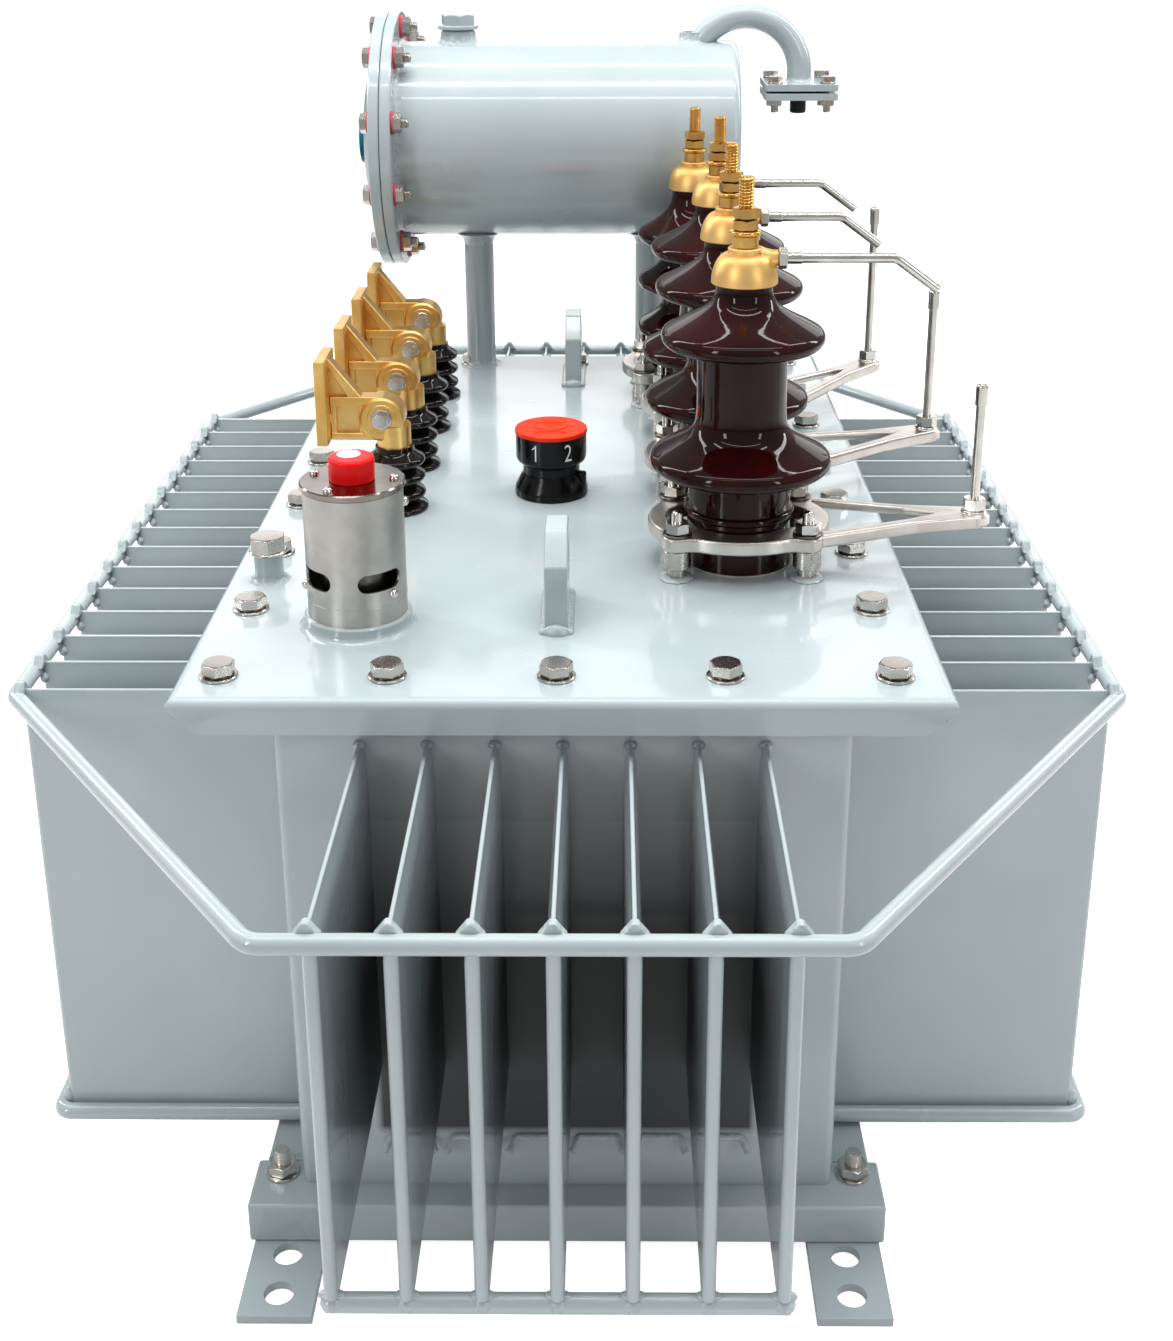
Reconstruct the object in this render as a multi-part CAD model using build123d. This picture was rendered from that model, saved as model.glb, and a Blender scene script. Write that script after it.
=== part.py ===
# Oil-filled power transformer with a corrugated tank, a conservator and four bushings a side.
# Millimetres, +Z up. The origin is on the ground under the middle of the lid.
# The narrow front end faces -Y, the high-voltage side is +X, the low-voltage side is -X.
import os
from math import cos, radians, sin, sqrt

from build123d import *

os.makedirs("parts", exist_ok=True)

# Base
foot_thickness = 7.0
foot_width = 51.0
foot_reach = 64.0
foot_offset = 6.5
foot_hole_radius = 10.0
foot_hole_outer = 44.0
foot_hole_inner = 9.0
channel_height = 31.0
channel_depth = 46.0
channel_overhang = 35.5
channel_wall = 6.0
channel_edge_radius = 3.6
channel_setback = 2.0
side_member_width = 40.0
side_member_wall = 5.0
side_member_overhang = 29.0

# Tank and lid
tank_side_setback = 62.0
tank_end_setback = 24.0
tank_corner_radius = 6.0
rim_setback = 10.0
rim_thickness = 8.0
lid_width = 500.0
lid_length = 810.0
lid_thickness = 6.0
lid_top = 431.0
lip_depth = 24.0
lip_thickness = 4.0
lid_edge_radius = 5.5

# Corrugations
fin_pitch = 43.8
fin_thickness = 8.5
fin_pinch = 3.0
fin_pinch_height = 22.0
fin_tip_radius = 3.0
fin_top = 390.0
end_fin_count = 7
end_fin_depth = 207.0
end_fin_bottom = 138.0
side_fin_count = 15
side_fin_depth = 186.0
side_fin_bottom = 42.0

# Tie bars round the fin tips
bar_radius = 6.0
bar_bite = 0.5
bar_bend = 8.0
top_bar_drop = 6.0
low_bar_rise = 4.0
end_bar_margin = 31.6

# Conservator
conservator_radius = 97.0
conservator_length = 336.0
conservator_left = -178.0
conservator_inset = 18.0
conservator_rise = 233.0
drum_edge_radius = 8.0
end_flange_radius = 127.0
end_flange_thickness = 11.0
cover_thickness = 11.0
flange_bolt_circle = 112.0
flange_bolt_count = 12
flange_hole_radius = 6.0
dish_radius = 96.0
dish_height = 16.0
gauge_radius = 24.0
gauge_height = 9.0
gauge_sink = 3.0
leg_radius = 15.0
leg_inset = 35.0
leg_left_margin = 74.0
leg_right_margin = 86.0
weld_bite = 6.0
filler_margin = 57.0
filler_neck_radius = 17.0
filler_neck_height = 12.0
filler_flange_radius = 20.0
filler_flange_height = 5.0
filler_nut_width = 30.0
filler_nut_height = 11.0

# Breather pipe
breather_radius = 12.0
breather_start_margin = 42.0
breather_overhang = 63.0
breather_rise = 36.0
breather_fall = 39.0
breather_flange_size = 72.0
breather_flange_corner = 4.0
breather_hole_inset = 10.0
breather_hole_radius = 4.5
breather_gasket_radius = 29.0
breather_flange_thickness = 7.0
breather_flange_gap = 2.0
breather_tip_radius = 8.0
breather_tip_length = 16.0

# High-voltage bushings
hv_edge_margin = 123.0
hv_first = 238.0
hv_last_margin = 266.0
hv_phases = 3
neutral_edge_margin = 139.0
neutral_margin = 143.0
hv_base_radius = 40.5
hv_foot_radius = 39.0
hv_core_radius = 33.5
hv_neck_radius = 20.0
hv_base_height = 23.0
hv_lip_z = 41.0
hv_lip_radius = 41.0
hv_lip_height = 6.0
hv_lower_shed_radius = 67.0
hv_lower_shed_z = 79.5
hv_lower_bell_top = 112.0
hv_upper_shed_radius = 59.5
hv_upper_shed_z = 173.0
hv_neck_z = 212.0
hv_underside_slope = 4.0
neutral_drop = 8.0
neutral_core_radius = 30.5
neutral_shed_radius = 53.0
neutral_shed_pitch = 45.0
neutral_shed_count = 3
neutral_first_shed_z = 70.0
neutral_bell_height = 26.0
shed_rim_radius = 7.0
dome_radius = 24.0
dome_height = 22.0
dome_collar_radius = 12.3
dome_collar_height = 4.0
dome_boss_radius = 6.0
dome_boss_reach = 29.0
dome_boss_z = 18.0
terminal_radius = 6.0
terminal_reach = 51.0
terminal_sleeve_radius = 9.6
terminal_sleeve_height = 9.0
terminal_ring_radius = 11.6
terminal_ring_height = 3.5
terminal_nut_width = 17.0
terminal_nut_height = 16.5

# Clamp rings and arcing horns
clamp_z = 23.0
clamp_thickness = 11.0
clamp_gap = 0.3
clamp_half_width = 68.0
clamp_half_depth = 57.0
clamp_pocket_half_width = 54.0
clamp_pocket_half_depth = 33.0
clamp_bolt_x = 47.5
clamp_bolt_y = 40.0
clamp_lobe_radius = 11.0
clamp_lobe_blend = 9.0
clamp_post_radius = 8.4
clamp_foot_radius = 5.8
clamp_foot_height = 10.0
arm_reaches = (178.0, 188.0, 200.0)
arm_width = 10.0
arm_edge_radius = 2.5
arm_tip_radius = 14.0
arm_turns = (3.0, 19.0, 38.0)
horn_radius = 3.8
horn_bend = 10.0
upper_horn_reaches = (108.0, 89.0, 90.0)
upper_horn_run = 31.0
upper_horn_drop = 23.0
lower_horn_tops = (134.0, 156.0, 186.0)
horn_tip_radius = 4.8
horn_tip_length = 17.0
horn_nut_width = 16.0
horn_nut_height = 10.0

# Low-voltage bushings
lv_edge_margin = 107.0
lv_first = 345.0
lv_last_margin = 150.0
lv_count = 4
lv_core_radius = 15.0
lv_shed_radius = 24.0
lv_shed_pitch = 14.0
lv_shed_count = 3
lv_shed_rim_radius = 2.0
lv_shed_rise = 6.0
lv_foot_radius = 26.0
lv_foot_height = 7.0
lv_height = 54.0
lv_clamp_radius = 16.0
lv_clamp_height = 24.0
lv_lobe_radius = 16.5
lv_lobe_z = 79.0
lv_lobe_offset = -8.0
lv_lobe_thickness = 24.0
palm_offset = 54.0
palm_thickness = 9.0
palm_width = 42.0
palm_bottom = 60.0
palm_top = 129.0
palm_hole_radius = 6.5
palm_hole_pitch = 34.0
palm_web_thickness = 6.0
palm_rib_thickness = 6.0
palm_rib_width = 14.0
palm_brace_run = 24.0

# Deck fittings
lug_x = -6.0
lug_front = 135.0
lug_back_margin = 85.0
lug_length = 70.0
lug_height = 68.0
lug_thickness = 16.0
lug_chamfer = 20.0
lug_hole_radius = 15.0
lug_hole_z = 42.0
tap_x = -18.0
tap_y = 382.0
tap_foot_radius = 31.0
tap_foot_edge = 4.0
tap_waist_radius = 24.0
tap_drum_radius = 28.0
tap_drum_edge = 1.5
tap_cap_radius = 29.5
tap_cap_edge = 1.5
tap_foot_height = 11.0
tap_waist_height = 18.0
tap_drum_height = 28.0
tap_cap_height = 8.0
pointer_bite = 4.0
pointer_width = 8.0
pointer_depth = 5.0
pointer_height = 14.0
relief_edge_margin = 107.0
relief_y = 120.0
relief_ring_radius = 39.0
relief_ring_height = 10.0
relief_body_radius = 34.0
relief_wall = 4.0
relief_body_height = 92.0
relief_slot_z = 36.0
relief_slot_height = 12.0
relief_slot_length = 32.0
relief_slot_count = 4
relief_plate_radius = 36.5
relief_plate_thickness = 5.0
relief_cap_radius = 17.0
relief_cap_height = 17.0
relief_cap_edge = 2.5
stub_edge_margin = 31.0
stub_y = 196.0
stub_radius = 10.5
stub_height = 21.0
stub_cap_width = 24.0
stub_cap_height = 13.0
stub_washer_radius = 14.0
stub_washer_height = 2.5

# Levels and places worked out from the sizes above
lid_underside = lid_top - lid_thickness
rim_bottom = lid_underside - rim_thickness
channel_top = foot_thickness + channel_height
channel_middle_z = foot_thickness + channel_height / 2
tank_width = lid_width - 2 * tank_side_setback
tank_length = lid_length - 2 * tank_end_setback
channel_length = tank_width + 2 * channel_overhang
foot_center_x = tank_width / 2 + foot_offset
end_fin_tip = tank_length / 2 + end_fin_depth
side_fin_tip = tank_width / 2 + side_fin_depth
end_fin_span = (end_fin_count - 1) * fin_pitch
side_fin_span = (side_fin_count - 1) * fin_pitch
conservator_right = conservator_left + conservator_length
conservator_z = lid_top + conservator_rise
conservator_y = lid_length / 2 - conservator_inset
conservator_top = conservator_z + conservator_radius
leg_xs = (conservator_left + leg_left_margin, conservator_right - leg_right_margin)
leg_y = lid_length / 2 - leg_inset
filler_x = conservator_left + filler_margin
breather_start_x = conservator_right - breather_start_margin
breather_end_x = conservator_right + breather_overhang
breather_end_z = conservator_top - breather_fall
hv_x = lid_width / 2 - hv_edge_margin
hv_pitch = (lid_length - hv_first - hv_last_margin) / (hv_phases - 1)
neutral_x = lid_width / 2 - neutral_edge_margin
lv_x = lv_edge_margin - lid_width / 2
lv_pitch = (lid_length - lv_first - lv_last_margin) / (lv_count - 1)
palm_x = lv_x - palm_offset
relief_x = relief_edge_margin - lid_width / 2
stub_x = stub_edge_margin - lid_width / 2


def from_front(distance):
    """Y of a point at a distance behind the lid's front edge."""
    return distance - lid_length / 2


def block(x0, x1, y0, y1, z0, z1):
    """A box given by its two corners."""
    center = ((x0 + x1) / 2, (y0 + y1) / 2, (z0 + z1) / 2)
    return Pos(*center) * Box(x1 - x0, y1 - y0, z1 - z0)


def rod(start, end, radius):
    """A round bar from one point to another."""
    line = Vector(*end) - Vector(*start)
    plane = Plane(origin=start, z_dir=line)
    return plane * extrude(Circle(radius), line.length)


def post(x, y, z, radius, height):
    """An upright round post that stands on z."""
    return Pos(x, y, z) * extrude(Circle(radius), height)


def hexagon(x, y, z, width, height):
    """An upright hexagonal nut of a given width across flats."""
    outline = RegularPolygon(width / sqrt(3), 6)
    return Pos(x, y, z) * extrude(outline, height)


def save(name, shape):
    """Write one sub-part."""
    export_step(shape, f"parts/{name}.step")
    print(name, [round(v, 1) for v in shape.bounding_box().size])


# Base
def foot_plates():
    """Four flat plates under the channels' ends, each with two holes."""
    outer = lid_length / 2 + foot_reach
    inner = lid_length / 2 - channel_setback - channel_depth
    plate = block(-foot_width / 2, foot_width / 2, inner, outer, 0, foot_thickness)
    for reach in (foot_hole_outer, foot_hole_inner):
        plate -= post(0, lid_length / 2 + reach, -foot_thickness, foot_hole_radius, 3 * foot_thickness)
    return Compound([Pos(side * foot_center_x, 0, 0) * Rot(0, 0, turn) * plate
                     for side in (-1, 1) for turn in (0, 180)])


def base_channel(end):
    """A cross channel, web up, legs down; end is -1 in front and 1 at the back."""
    outer = lid_length / 2 - channel_setback
    inner = outer - channel_depth
    middle = end * (outer + inner) / 2
    body = Pos(0, middle, channel_middle_z) * Box(channel_length, channel_depth, channel_height)
    top_edges = body.edges().filter_by(Axis.X).group_by(Axis.Z)[-1]
    body = fillet(top_edges, channel_edge_radius)
    hollow = Box(2 * channel_length, channel_depth - 2 * channel_wall, channel_height)
    return body - Pos(0, middle, channel_middle_z - channel_wall) * hollow


def base_side_members():
    """Two angles along the tank's lower edges, between the channels."""
    reach = lid_length / 2 - channel_setback - channel_depth
    members = []
    for side in (-1, 1):
        outer = side * (tank_width / 2 + side_member_overhang)
        inner = outer - side * side_member_width
        wall = outer - side * side_member_wall
        top = block(min(outer, inner), max(outer, inner), -reach, reach,
                    channel_top - side_member_wall, channel_top)
        leg = block(min(outer, wall), max(outer, wall), -reach, reach, foot_thickness, channel_top)
        members.append(top + leg)
    return Compound(members)


# Tank and lid
def tank_body():
    body = Pos(0, 0, channel_top) * extrude(
        RectangleRounded(tank_width, tank_length, tank_corner_radius), rim_bottom - channel_top)
    return body


def tank_rim():
    plate = Rectangle(lid_width - 2 * rim_setback, lid_length - 2 * rim_setback)
    return Pos(0, 0, rim_bottom) * extrude(plate, rim_thickness)


def lid():
    """A flat plate with four bent lips whose ends are cut at 45 degrees, so that the corners are open."""
    plate = Pos(0, 0, lid_underside) * extrude(Rectangle(lid_width, lid_length), lid_thickness)
    plate = fillet(plate.edges().group_by(Axis.Z)[-1], lid_edge_radius)
    low = lid_top - lip_depth
    cut = lip_depth - lid_thickness
    lips = []
    for half, run, turn in ((lid_length / 2, lid_width, 0), (lid_width / 2, lid_length, 90)):
        outline = Polyline((-run / 2, lid_underside), (run / 2, lid_underside), (run / 2 - cut, low),
                           (-run / 2 + cut, low), close=True)
        lip = extrude(Plane.XZ * make_face(outline), lip_thickness)
        for flip in (0, 180):
            lips.append(Rot(0, 0, turn + flip) * Pos(0, -half + lip_thickness, 0) * lip)
    for lip in lips:
        plate += lip
    return plate


# Corrugations
def fin(depth, bottom):
    """One corrugation along +X, pressed shut at its top and bottom edges, with a folded tip."""
    half = fin_thickness / 2
    pinch = fin_pinch / 2
    outline = Polyline(
        (-half, bottom + fin_pinch_height), (-half, fin_top - fin_pinch_height), (-pinch, fin_top),
        (pinch, fin_top), (half, fin_top - fin_pinch_height), (half, bottom + fin_pinch_height),
        (pinch, bottom), (-pinch, bottom), close=True)
    body = extrude(Plane.YZ * make_face(outline), depth)
    plan = Box(2 * depth, fin_thickness, 2 * fin_top)
    folds = plan.edges().filter_by(Axis.Z).group_by(Axis.X)[-1]
    return body & fillet(folds, fin_tip_radius)


def end_fins(end):
    one = fin(end_fin_depth, end_fin_bottom)
    first = -end_fin_span / 2
    return Compound([Pos(first + i * fin_pitch, end * tank_length / 2, 0) * Rot(0, 0, 90 * end) * one
                     for i in range(end_fin_count)])


def side_fins(side):
    one = fin(side_fin_depth, side_fin_bottom)
    first = -side_fin_span / 2
    turn = 0 if side > 0 else 180
    return Compound([Pos(side * tank_width / 2, first + i * fin_pitch, 0) * Rot(0, 0, turn) * one
                     for i in range(side_fin_count)])


# Tie bars
top_bar_z = fin_top - top_bar_drop
end_bar_y = end_fin_tip + bar_radius - bar_bite
side_bar_x = side_fin_tip + bar_radius - bar_bite
end_bar_half = end_fin_span / 2 + end_bar_margin
side_bar_half = side_fin_span / 2
low_bar_z = side_fin_bottom + low_bar_rise
low_cross_y = side_fin_span / 2 + fin_thickness / 2 + bar_radius - bar_bite


def fin_space():
    """The space that the corrugations fill, up to their flat tips and lower edges."""
    across = Box(end_fin_span + 4 * fin_thickness, 2 * end_fin_tip, 2 * (fin_top - end_fin_bottom))
    along = Box(2 * side_fin_tip, side_fin_span + fin_thickness, 2 * (fin_top - side_fin_bottom))
    return (Pos(0, 0, fin_top) * across, Pos(0, 0, fin_top) * along)


def top_bar_end(end):
    """A straight bar with a flat where the fin tips are welded to it."""
    y = end * end_bar_y
    return rod((-end_bar_half, y, top_bar_z), (end_bar_half, y, top_bar_z), bar_radius) - fin_space()[0]


def top_bar_side(side):
    x = side * side_bar_x
    return rod((x, -side_bar_half, top_bar_z), (x, side_bar_half, top_bar_z), bar_radius) - fin_space()[1]


def top_bar_diagonals():
    """Bars across the corners, with rounded ends cut to seat on the straight ones."""
    bars = []
    for side in (-1, 1):
        for end in (-1, 1):
            start = (side * end_bar_half, end * end_bar_y, top_bar_z)
            stop = (side * side_bar_x, end * side_bar_half, top_bar_z)
            end_ball = Sphere(bar_radius)
            bar = rod(start, stop, bar_radius) + Pos(*start) * end_ball + Pos(*stop) * end_ball
            bar -= rod((0, start[1], top_bar_z), start, bar_radius)
            bar -= rod((stop[0], 0, top_bar_z), stop, bar_radius)
            bars.append(bar - fin_space()[1])
    return Compound(bars)


def bottom_bar_end(end):
    y = end * (end_fin_tip - bar_radius)
    z = end_fin_bottom - bar_radius + bar_bite
    half = end_fin_span / 2 + fin_thickness / 2
    return rod((-half, y, z), (half, y, z), bar_radius) - fin_space()[0]


def bottom_bar_side(side):
    """A bar along the fin tips, bent in to the tank at both ends."""
    x = side * side_bar_x
    wall = side * tank_width / 2
    route = FilletPolyline((wall, -low_cross_y, low_bar_z), (x, -low_cross_y, low_bar_z),
                           (x, low_cross_y, low_bar_z), (wall, low_cross_y, low_bar_z), radius=bar_bend)
    start = Plane(origin=(wall, -low_cross_y, low_bar_z), z_dir=(side, 0, 0))
    return sweep(start * Circle(bar_radius), path=route) - fin_space()[1]


# Conservator
def along_x(x, shape):
    """Lay a shape that was made along +Z on the conservator's axis, from x towards +X."""
    return Pos(x, conservator_y, conservator_z) * Rot(0, 90, 0) * shape


def conservator_shell():
    drum = extrude(Circle(conservator_radius), conservator_length)
    drum = fillet(drum.edges().group_by(Axis.Z)[-1], drum_edge_radius)
    return along_x(conservator_left, drum)


def flange_disc(thickness):
    """A round flange with its bolt holes."""
    holes = PolarLocations(flange_bolt_circle, flange_bolt_count, 180 / flange_bolt_count)
    return extrude(Circle(end_flange_radius) - holes * Circle(flange_hole_radius), thickness)


def conservator_flange():
    ring = flange_disc(end_flange_thickness)
    return along_x(conservator_left - end_flange_thickness, ring)


def conservator_cover():
    """A blind flange with a dished middle."""
    face = conservator_left - end_flange_thickness - cover_thickness
    plate = flange_disc(cover_thickness)
    sphere_radius = (dish_radius ** 2 + dish_height ** 2) / (2 * dish_height)
    ball = Pos(0, 0, sphere_radius - dish_height) * Sphere(sphere_radius)
    dish = ball & Pos(0, 0, -dish_height) * extrude(Circle(dish_radius), dish_height + cover_thickness / 2)
    return along_x(face, plate + dish)


def oil_gauge():
    face = conservator_left - end_flange_thickness - cover_thickness - dish_height
    gauge = extrude(Circle(gauge_radius), gauge_height)
    return along_x(face - gauge_height + gauge_sink, gauge) - conservator_cover()


def conservator_legs():
    legs = []
    offset = leg_y - conservator_y
    seat = conservator_z - sqrt(conservator_radius ** 2 - offset ** 2)
    drum = along_x(conservator_left, extrude(Circle(conservator_radius), conservator_length))
    for x in leg_xs:
        leg = post(x, leg_y, lid_top, leg_radius, seat - lid_top + weld_bite)
        legs.append(leg - drum)
    return Compound(legs)


def filler_cap():
    y = conservator_y
    seat = conservator_top + filler_neck_height
    neck = post(filler_x, y, conservator_top - weld_bite, filler_neck_radius, filler_neck_height + weld_bite)
    flange = post(filler_x, y, seat, filler_flange_radius, filler_flange_height)
    nut = hexagon(filler_x, y, seat + filler_flange_height, filler_nut_width, filler_nut_height)
    drum = along_x(conservator_left, extrude(Circle(conservator_radius), conservator_length))
    return neck + flange + nut - drum


def breather_pipe():
    """A bent pipe that leaves the drum's top and comes down beside its end."""
    y = conservator_y
    bend = (breather_end_x - breather_start_x) / 2
    spring = conservator_top + breather_rise - breather_radius - bend
    root = min(spring, conservator_top) - 2 * weld_bite
    foot = (breather_start_x, y, root)
    rise = Line(foot, (breather_start_x, y, spring))
    arc = ThreePointArc((breather_start_x, y, spring), (breather_start_x + bend, y, spring + bend),
                        (breather_end_x, y, spring))
    down = Line((breather_end_x, y, spring), (breather_end_x, y, breather_end_z))
    start = Plane(origin=foot, z_dir=(0, 0, 1))
    pipe = sweep(start * Circle(breather_radius), path=rise + arc + down)
    drum = along_x(conservator_left, extrude(Circle(conservator_radius), conservator_length))
    return pipe - drum


def breather_flanges():
    y = conservator_y
    upper = breather_end_z
    step = breather_flange_thickness + breather_flange_gap
    pitch = breather_flange_size - 2 * breather_hole_inset
    plate = RectangleRounded(breather_flange_size, breather_flange_size, breather_flange_corner)
    plate -= GridLocations(pitch, pitch, 2, 2) * Circle(breather_hole_radius)
    plates = []
    for top in (upper, upper - step):
        plates.append(Pos(breather_end_x, y, top - breather_flange_thickness)
                      * extrude(plate, breather_flange_thickness))
    gasket = post(breather_end_x, y, upper - step, breather_gasket_radius, breather_flange_gap)
    tip = post(breather_end_x, y, upper - step - breather_flange_thickness - breather_tip_length,
               breather_tip_radius, breather_tip_length)
    return plates[0] + plates[1] + gasket + tip


# High-voltage bushings
def hv_places():
    """X and Y of each high-voltage bushing, the neutral last."""
    places = [(hv_x, from_front(hv_first + i * hv_pitch)) for i in range(hv_phases)]
    return places + [(neutral_x, lid_length / 2 - neutral_margin)]


def turned_from(lines):
    """A solid turned about Z from lines and curves that close at the axis."""
    return revolve(make_face(Curve() + lines), Axis.Z)


def straight(*points):
    """Straight lines through radius and height points."""
    places = [(r, 0, z) for r, z in points]
    return [Line(a, b) for a, b in zip(places, places[1:])]


def shed(below, above, radius, z, top):
    """One shed: a sloped underside, a round rim and a bell that runs up into the core."""
    rim = shed_rim_radius
    under = straight((below, z - rim + hv_underside_slope), (radius - rim, z - rim))
    shoulder = (radius - rim / 2, 0, z + rim * sqrt(3) / 2)
    edge = ThreePointArc((radius - rim, 0, z - rim), (radius, 0, z), shoulder)
    pull = (shoulder[0] - above) / 2
    bell = Bezier(shoulder, (shoulder[0] - pull, 0, shoulder[2] + pull / sqrt(3)),
                  (above, 0, (shoulder[2] + top) / 2), (above, 0, top))
    return under + [edge, bell]


def hv_foot(core):
    """The base, the shoulder that the clamp ring holds down, and the lip above it."""
    return straight((0, 0), (hv_base_radius, 0), (hv_base_radius, hv_base_height),
                    (hv_foot_radius, hv_base_height), (hv_foot_radius, hv_lip_z - hv_lip_height / 2)) + [
        ThreePointArc((hv_foot_radius, 0, hv_lip_z - hv_lip_height / 2), (hv_lip_radius, 0, hv_lip_z),
                      (hv_foot_radius, 0, hv_lip_z + hv_lip_height / 2))] + straight(
        (hv_foot_radius, hv_lip_z + hv_lip_height / 2), core)


def phase_bushing():
    """Two wide sheds on a thick core."""
    lower = (hv_core_radius, hv_lower_shed_z - shed_rim_radius + hv_underside_slope)
    upper = (hv_core_radius, hv_upper_shed_z - shed_rim_radius + hv_underside_slope)
    lines = hv_foot((hv_foot_radius, lower[1]))
    lines += shed(hv_foot_radius, hv_core_radius, hv_lower_shed_radius, hv_lower_shed_z, hv_lower_bell_top)
    lines += straight((hv_core_radius, hv_lower_bell_top), upper)
    lines += shed(hv_core_radius, hv_neck_radius, hv_upper_shed_radius, hv_upper_shed_z, hv_neck_z)
    return turned_from(lines + straight((hv_neck_radius, hv_neck_z), (0, hv_neck_z), (0, 0)))


def neutral_bushing():
    """Smaller sheds, one above the other, on the same foot."""
    neck = hv_neck_z - neutral_drop
    below = shed_rim_radius - hv_underside_slope
    lines = hv_foot((neutral_core_radius, neutral_first_shed_z - below))
    for i in range(neutral_shed_count):
        z = neutral_first_shed_z + i * neutral_shed_pitch
        last = i == neutral_shed_count - 1
        above = hv_neck_radius if last else neutral_core_radius
        top = neck if last else z + neutral_bell_height
        lines += shed(neutral_core_radius, above, neutral_shed_radius, z, top)
        if not last:
            following = z + neutral_shed_pitch - below
            lines += straight((neutral_core_radius, top), (neutral_core_radius, following))
    return turned_from(lines + straight((hv_neck_radius, neck), (0, neck), (0, 0)))


def hv_bushing(index):
    x, y = hv_places()[index]
    one = phase_bushing() if index < hv_phases else neutral_bushing()
    return Pos(x, y, lid_top) * one


def neck_level(index):
    """Height of a bushing's top above the lid."""
    return hv_neck_z if index < hv_phases else hv_neck_z - neutral_drop


def hv_caps():
    """Domed caps; the phase ones have a side boss that holds the upper horn."""
    caps = []
    for index, (x, y) in enumerate(hv_places()):
        shoulder = (dome_radius - dome_collar_radius) * sqrt(0.5)
        middle = (dome_collar_radius + shoulder, 0, dome_height * sqrt(0.5))
        dome = straight((0, 0), (dome_radius, 0)) + [
            ThreePointArc((dome_radius, 0, 0), middle, (dome_collar_radius, 0, dome_height))]
        top = dome_height + dome_collar_height
        dome += straight((dome_collar_radius, dome_height), (dome_collar_radius, top), (0, top), (0, 0))
        cap = turned_from(dome)
        if index < hv_phases:
            cap += rod((0, 0, dome_boss_z), (dome_boss_reach, 0, dome_boss_z), dome_boss_radius)
        caps.append(Pos(x, y, lid_top + neck_level(index)) * cap)
    return Compound(caps)


def hv_studs():
    """A threaded stud with its sleeve, ring and nuts on each cap."""
    studs = []
    for index, (x, y) in enumerate(hv_places()):
        base = lid_top + neck_level(index) + dome_height + dome_collar_height
        ring = base + terminal_sleeve_height
        stud = post(x, y, base, terminal_radius, terminal_reach)
        stud += post(x, y, base, terminal_sleeve_radius, terminal_sleeve_height)
        stud += post(x, y, ring, terminal_ring_radius, terminal_ring_height)
        seat = ring + terminal_ring_height
        studs.append(stud + hexagon(x, y, seat, terminal_nut_width, terminal_nut_height))
    return Compound(studs)


def clamp(index):
    """An oval ring with four lobes on posts; on a phase bushing two arms run out to the lower horn."""
    corners = [(sx * clamp_bolt_x, sy * clamp_bolt_y) for sx in (-1, 1) for sy in (-1, 1)]
    outline = Ellipse(clamp_half_width, clamp_half_depth)
    for cx, cy in corners:
        outline += Pos(cx, cy) * Circle(clamp_lobe_radius)
    outline = fillet(outline.vertices(), clamp_lobe_blend)
    body = extrude(outline, clamp_thickness)
    if index < hv_phases:
        turn = radians(arm_turns[index])
        tip = (arm_reaches[index] * cos(turn), arm_reaches[index] * sin(turn))
        for cx, cy in corners[2:]:
            length = sqrt((tip[0] - cx) ** 2 + (tip[1] - cy) ** 2)
            middle = ((tip[0] + cx) / 2, (tip[1] + cy) / 2, clamp_thickness / 2)
            plane = Plane(origin=middle, x_dir=(tip[0] - cx, tip[1] - cy, 0), z_dir=(0, 0, 1))
            arm = Box(length, arm_width, clamp_thickness)
            body += plane * fillet(arm.edges().filter_by(Axis.X), arm_edge_radius)
        body += post(tip[0], tip[1], 0, arm_tip_radius, clamp_thickness)
    opening = Circle(hv_foot_radius + clamp_gap) + Ellipse(clamp_pocket_half_width, clamp_pocket_half_depth)
    body -= Pos(0, 0, -clamp_thickness) * extrude(opening, 3 * clamp_thickness)
    for cx, cy in corners:
        body += post(cx, cy, clamp_foot_height - clamp_z, clamp_post_radius, clamp_z - clamp_foot_height)
        body += post(cx, cy, -clamp_z, clamp_foot_radius, clamp_foot_height)
    return body


def hv_clamps():
    return Compound([Pos(x, y, lid_top + clamp_z) * clamp(i) for i, (x, y) in enumerate(hv_places())])


def upper_horns():
    """Rods from the cap bosses, bent down at their ends."""
    horns = []
    for index in range(hv_phases):
        x, y = hv_places()[index]
        z = lid_top + hv_neck_z + dome_boss_z
        elbow = x + upper_horn_reaches[index]
        start = (x + dome_boss_reach, y, z)
        route = FilletPolyline(start, (elbow, y, z), (elbow + upper_horn_run, y, z - upper_horn_drop),
                               radius=horn_bend)
        horns.append(sweep(Plane(origin=start, z_dir=(1, 0, 0)) * Circle(horn_radius), path=route))
    return Compound(horns)


def lower_horns():
    """Upright rods on the arm tips, each with a nut below and a thicker tip."""
    horns = []
    for index in range(hv_phases):
        x, y = hv_places()[index]
        turn = radians(arm_turns[index])
        x += arm_reaches[index] * cos(turn)
        y += arm_reaches[index] * sin(turn)
        base = lid_top + clamp_z + clamp_thickness
        top = lid_top + lower_horn_tops[index]
        nut = hexagon(x, y, base, horn_nut_width, horn_nut_height)
        horn = post(x, y, base, horn_radius, top - base) + nut
        horns.append(horn + post(x, y, top - horn_tip_length, horn_tip_radius, horn_tip_length))
    return Compound(horns)


# Low-voltage bushings
def lv_places():
    return [(lv_x, from_front(lv_first + i * lv_pitch)) for i in range(lv_count)]


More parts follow.
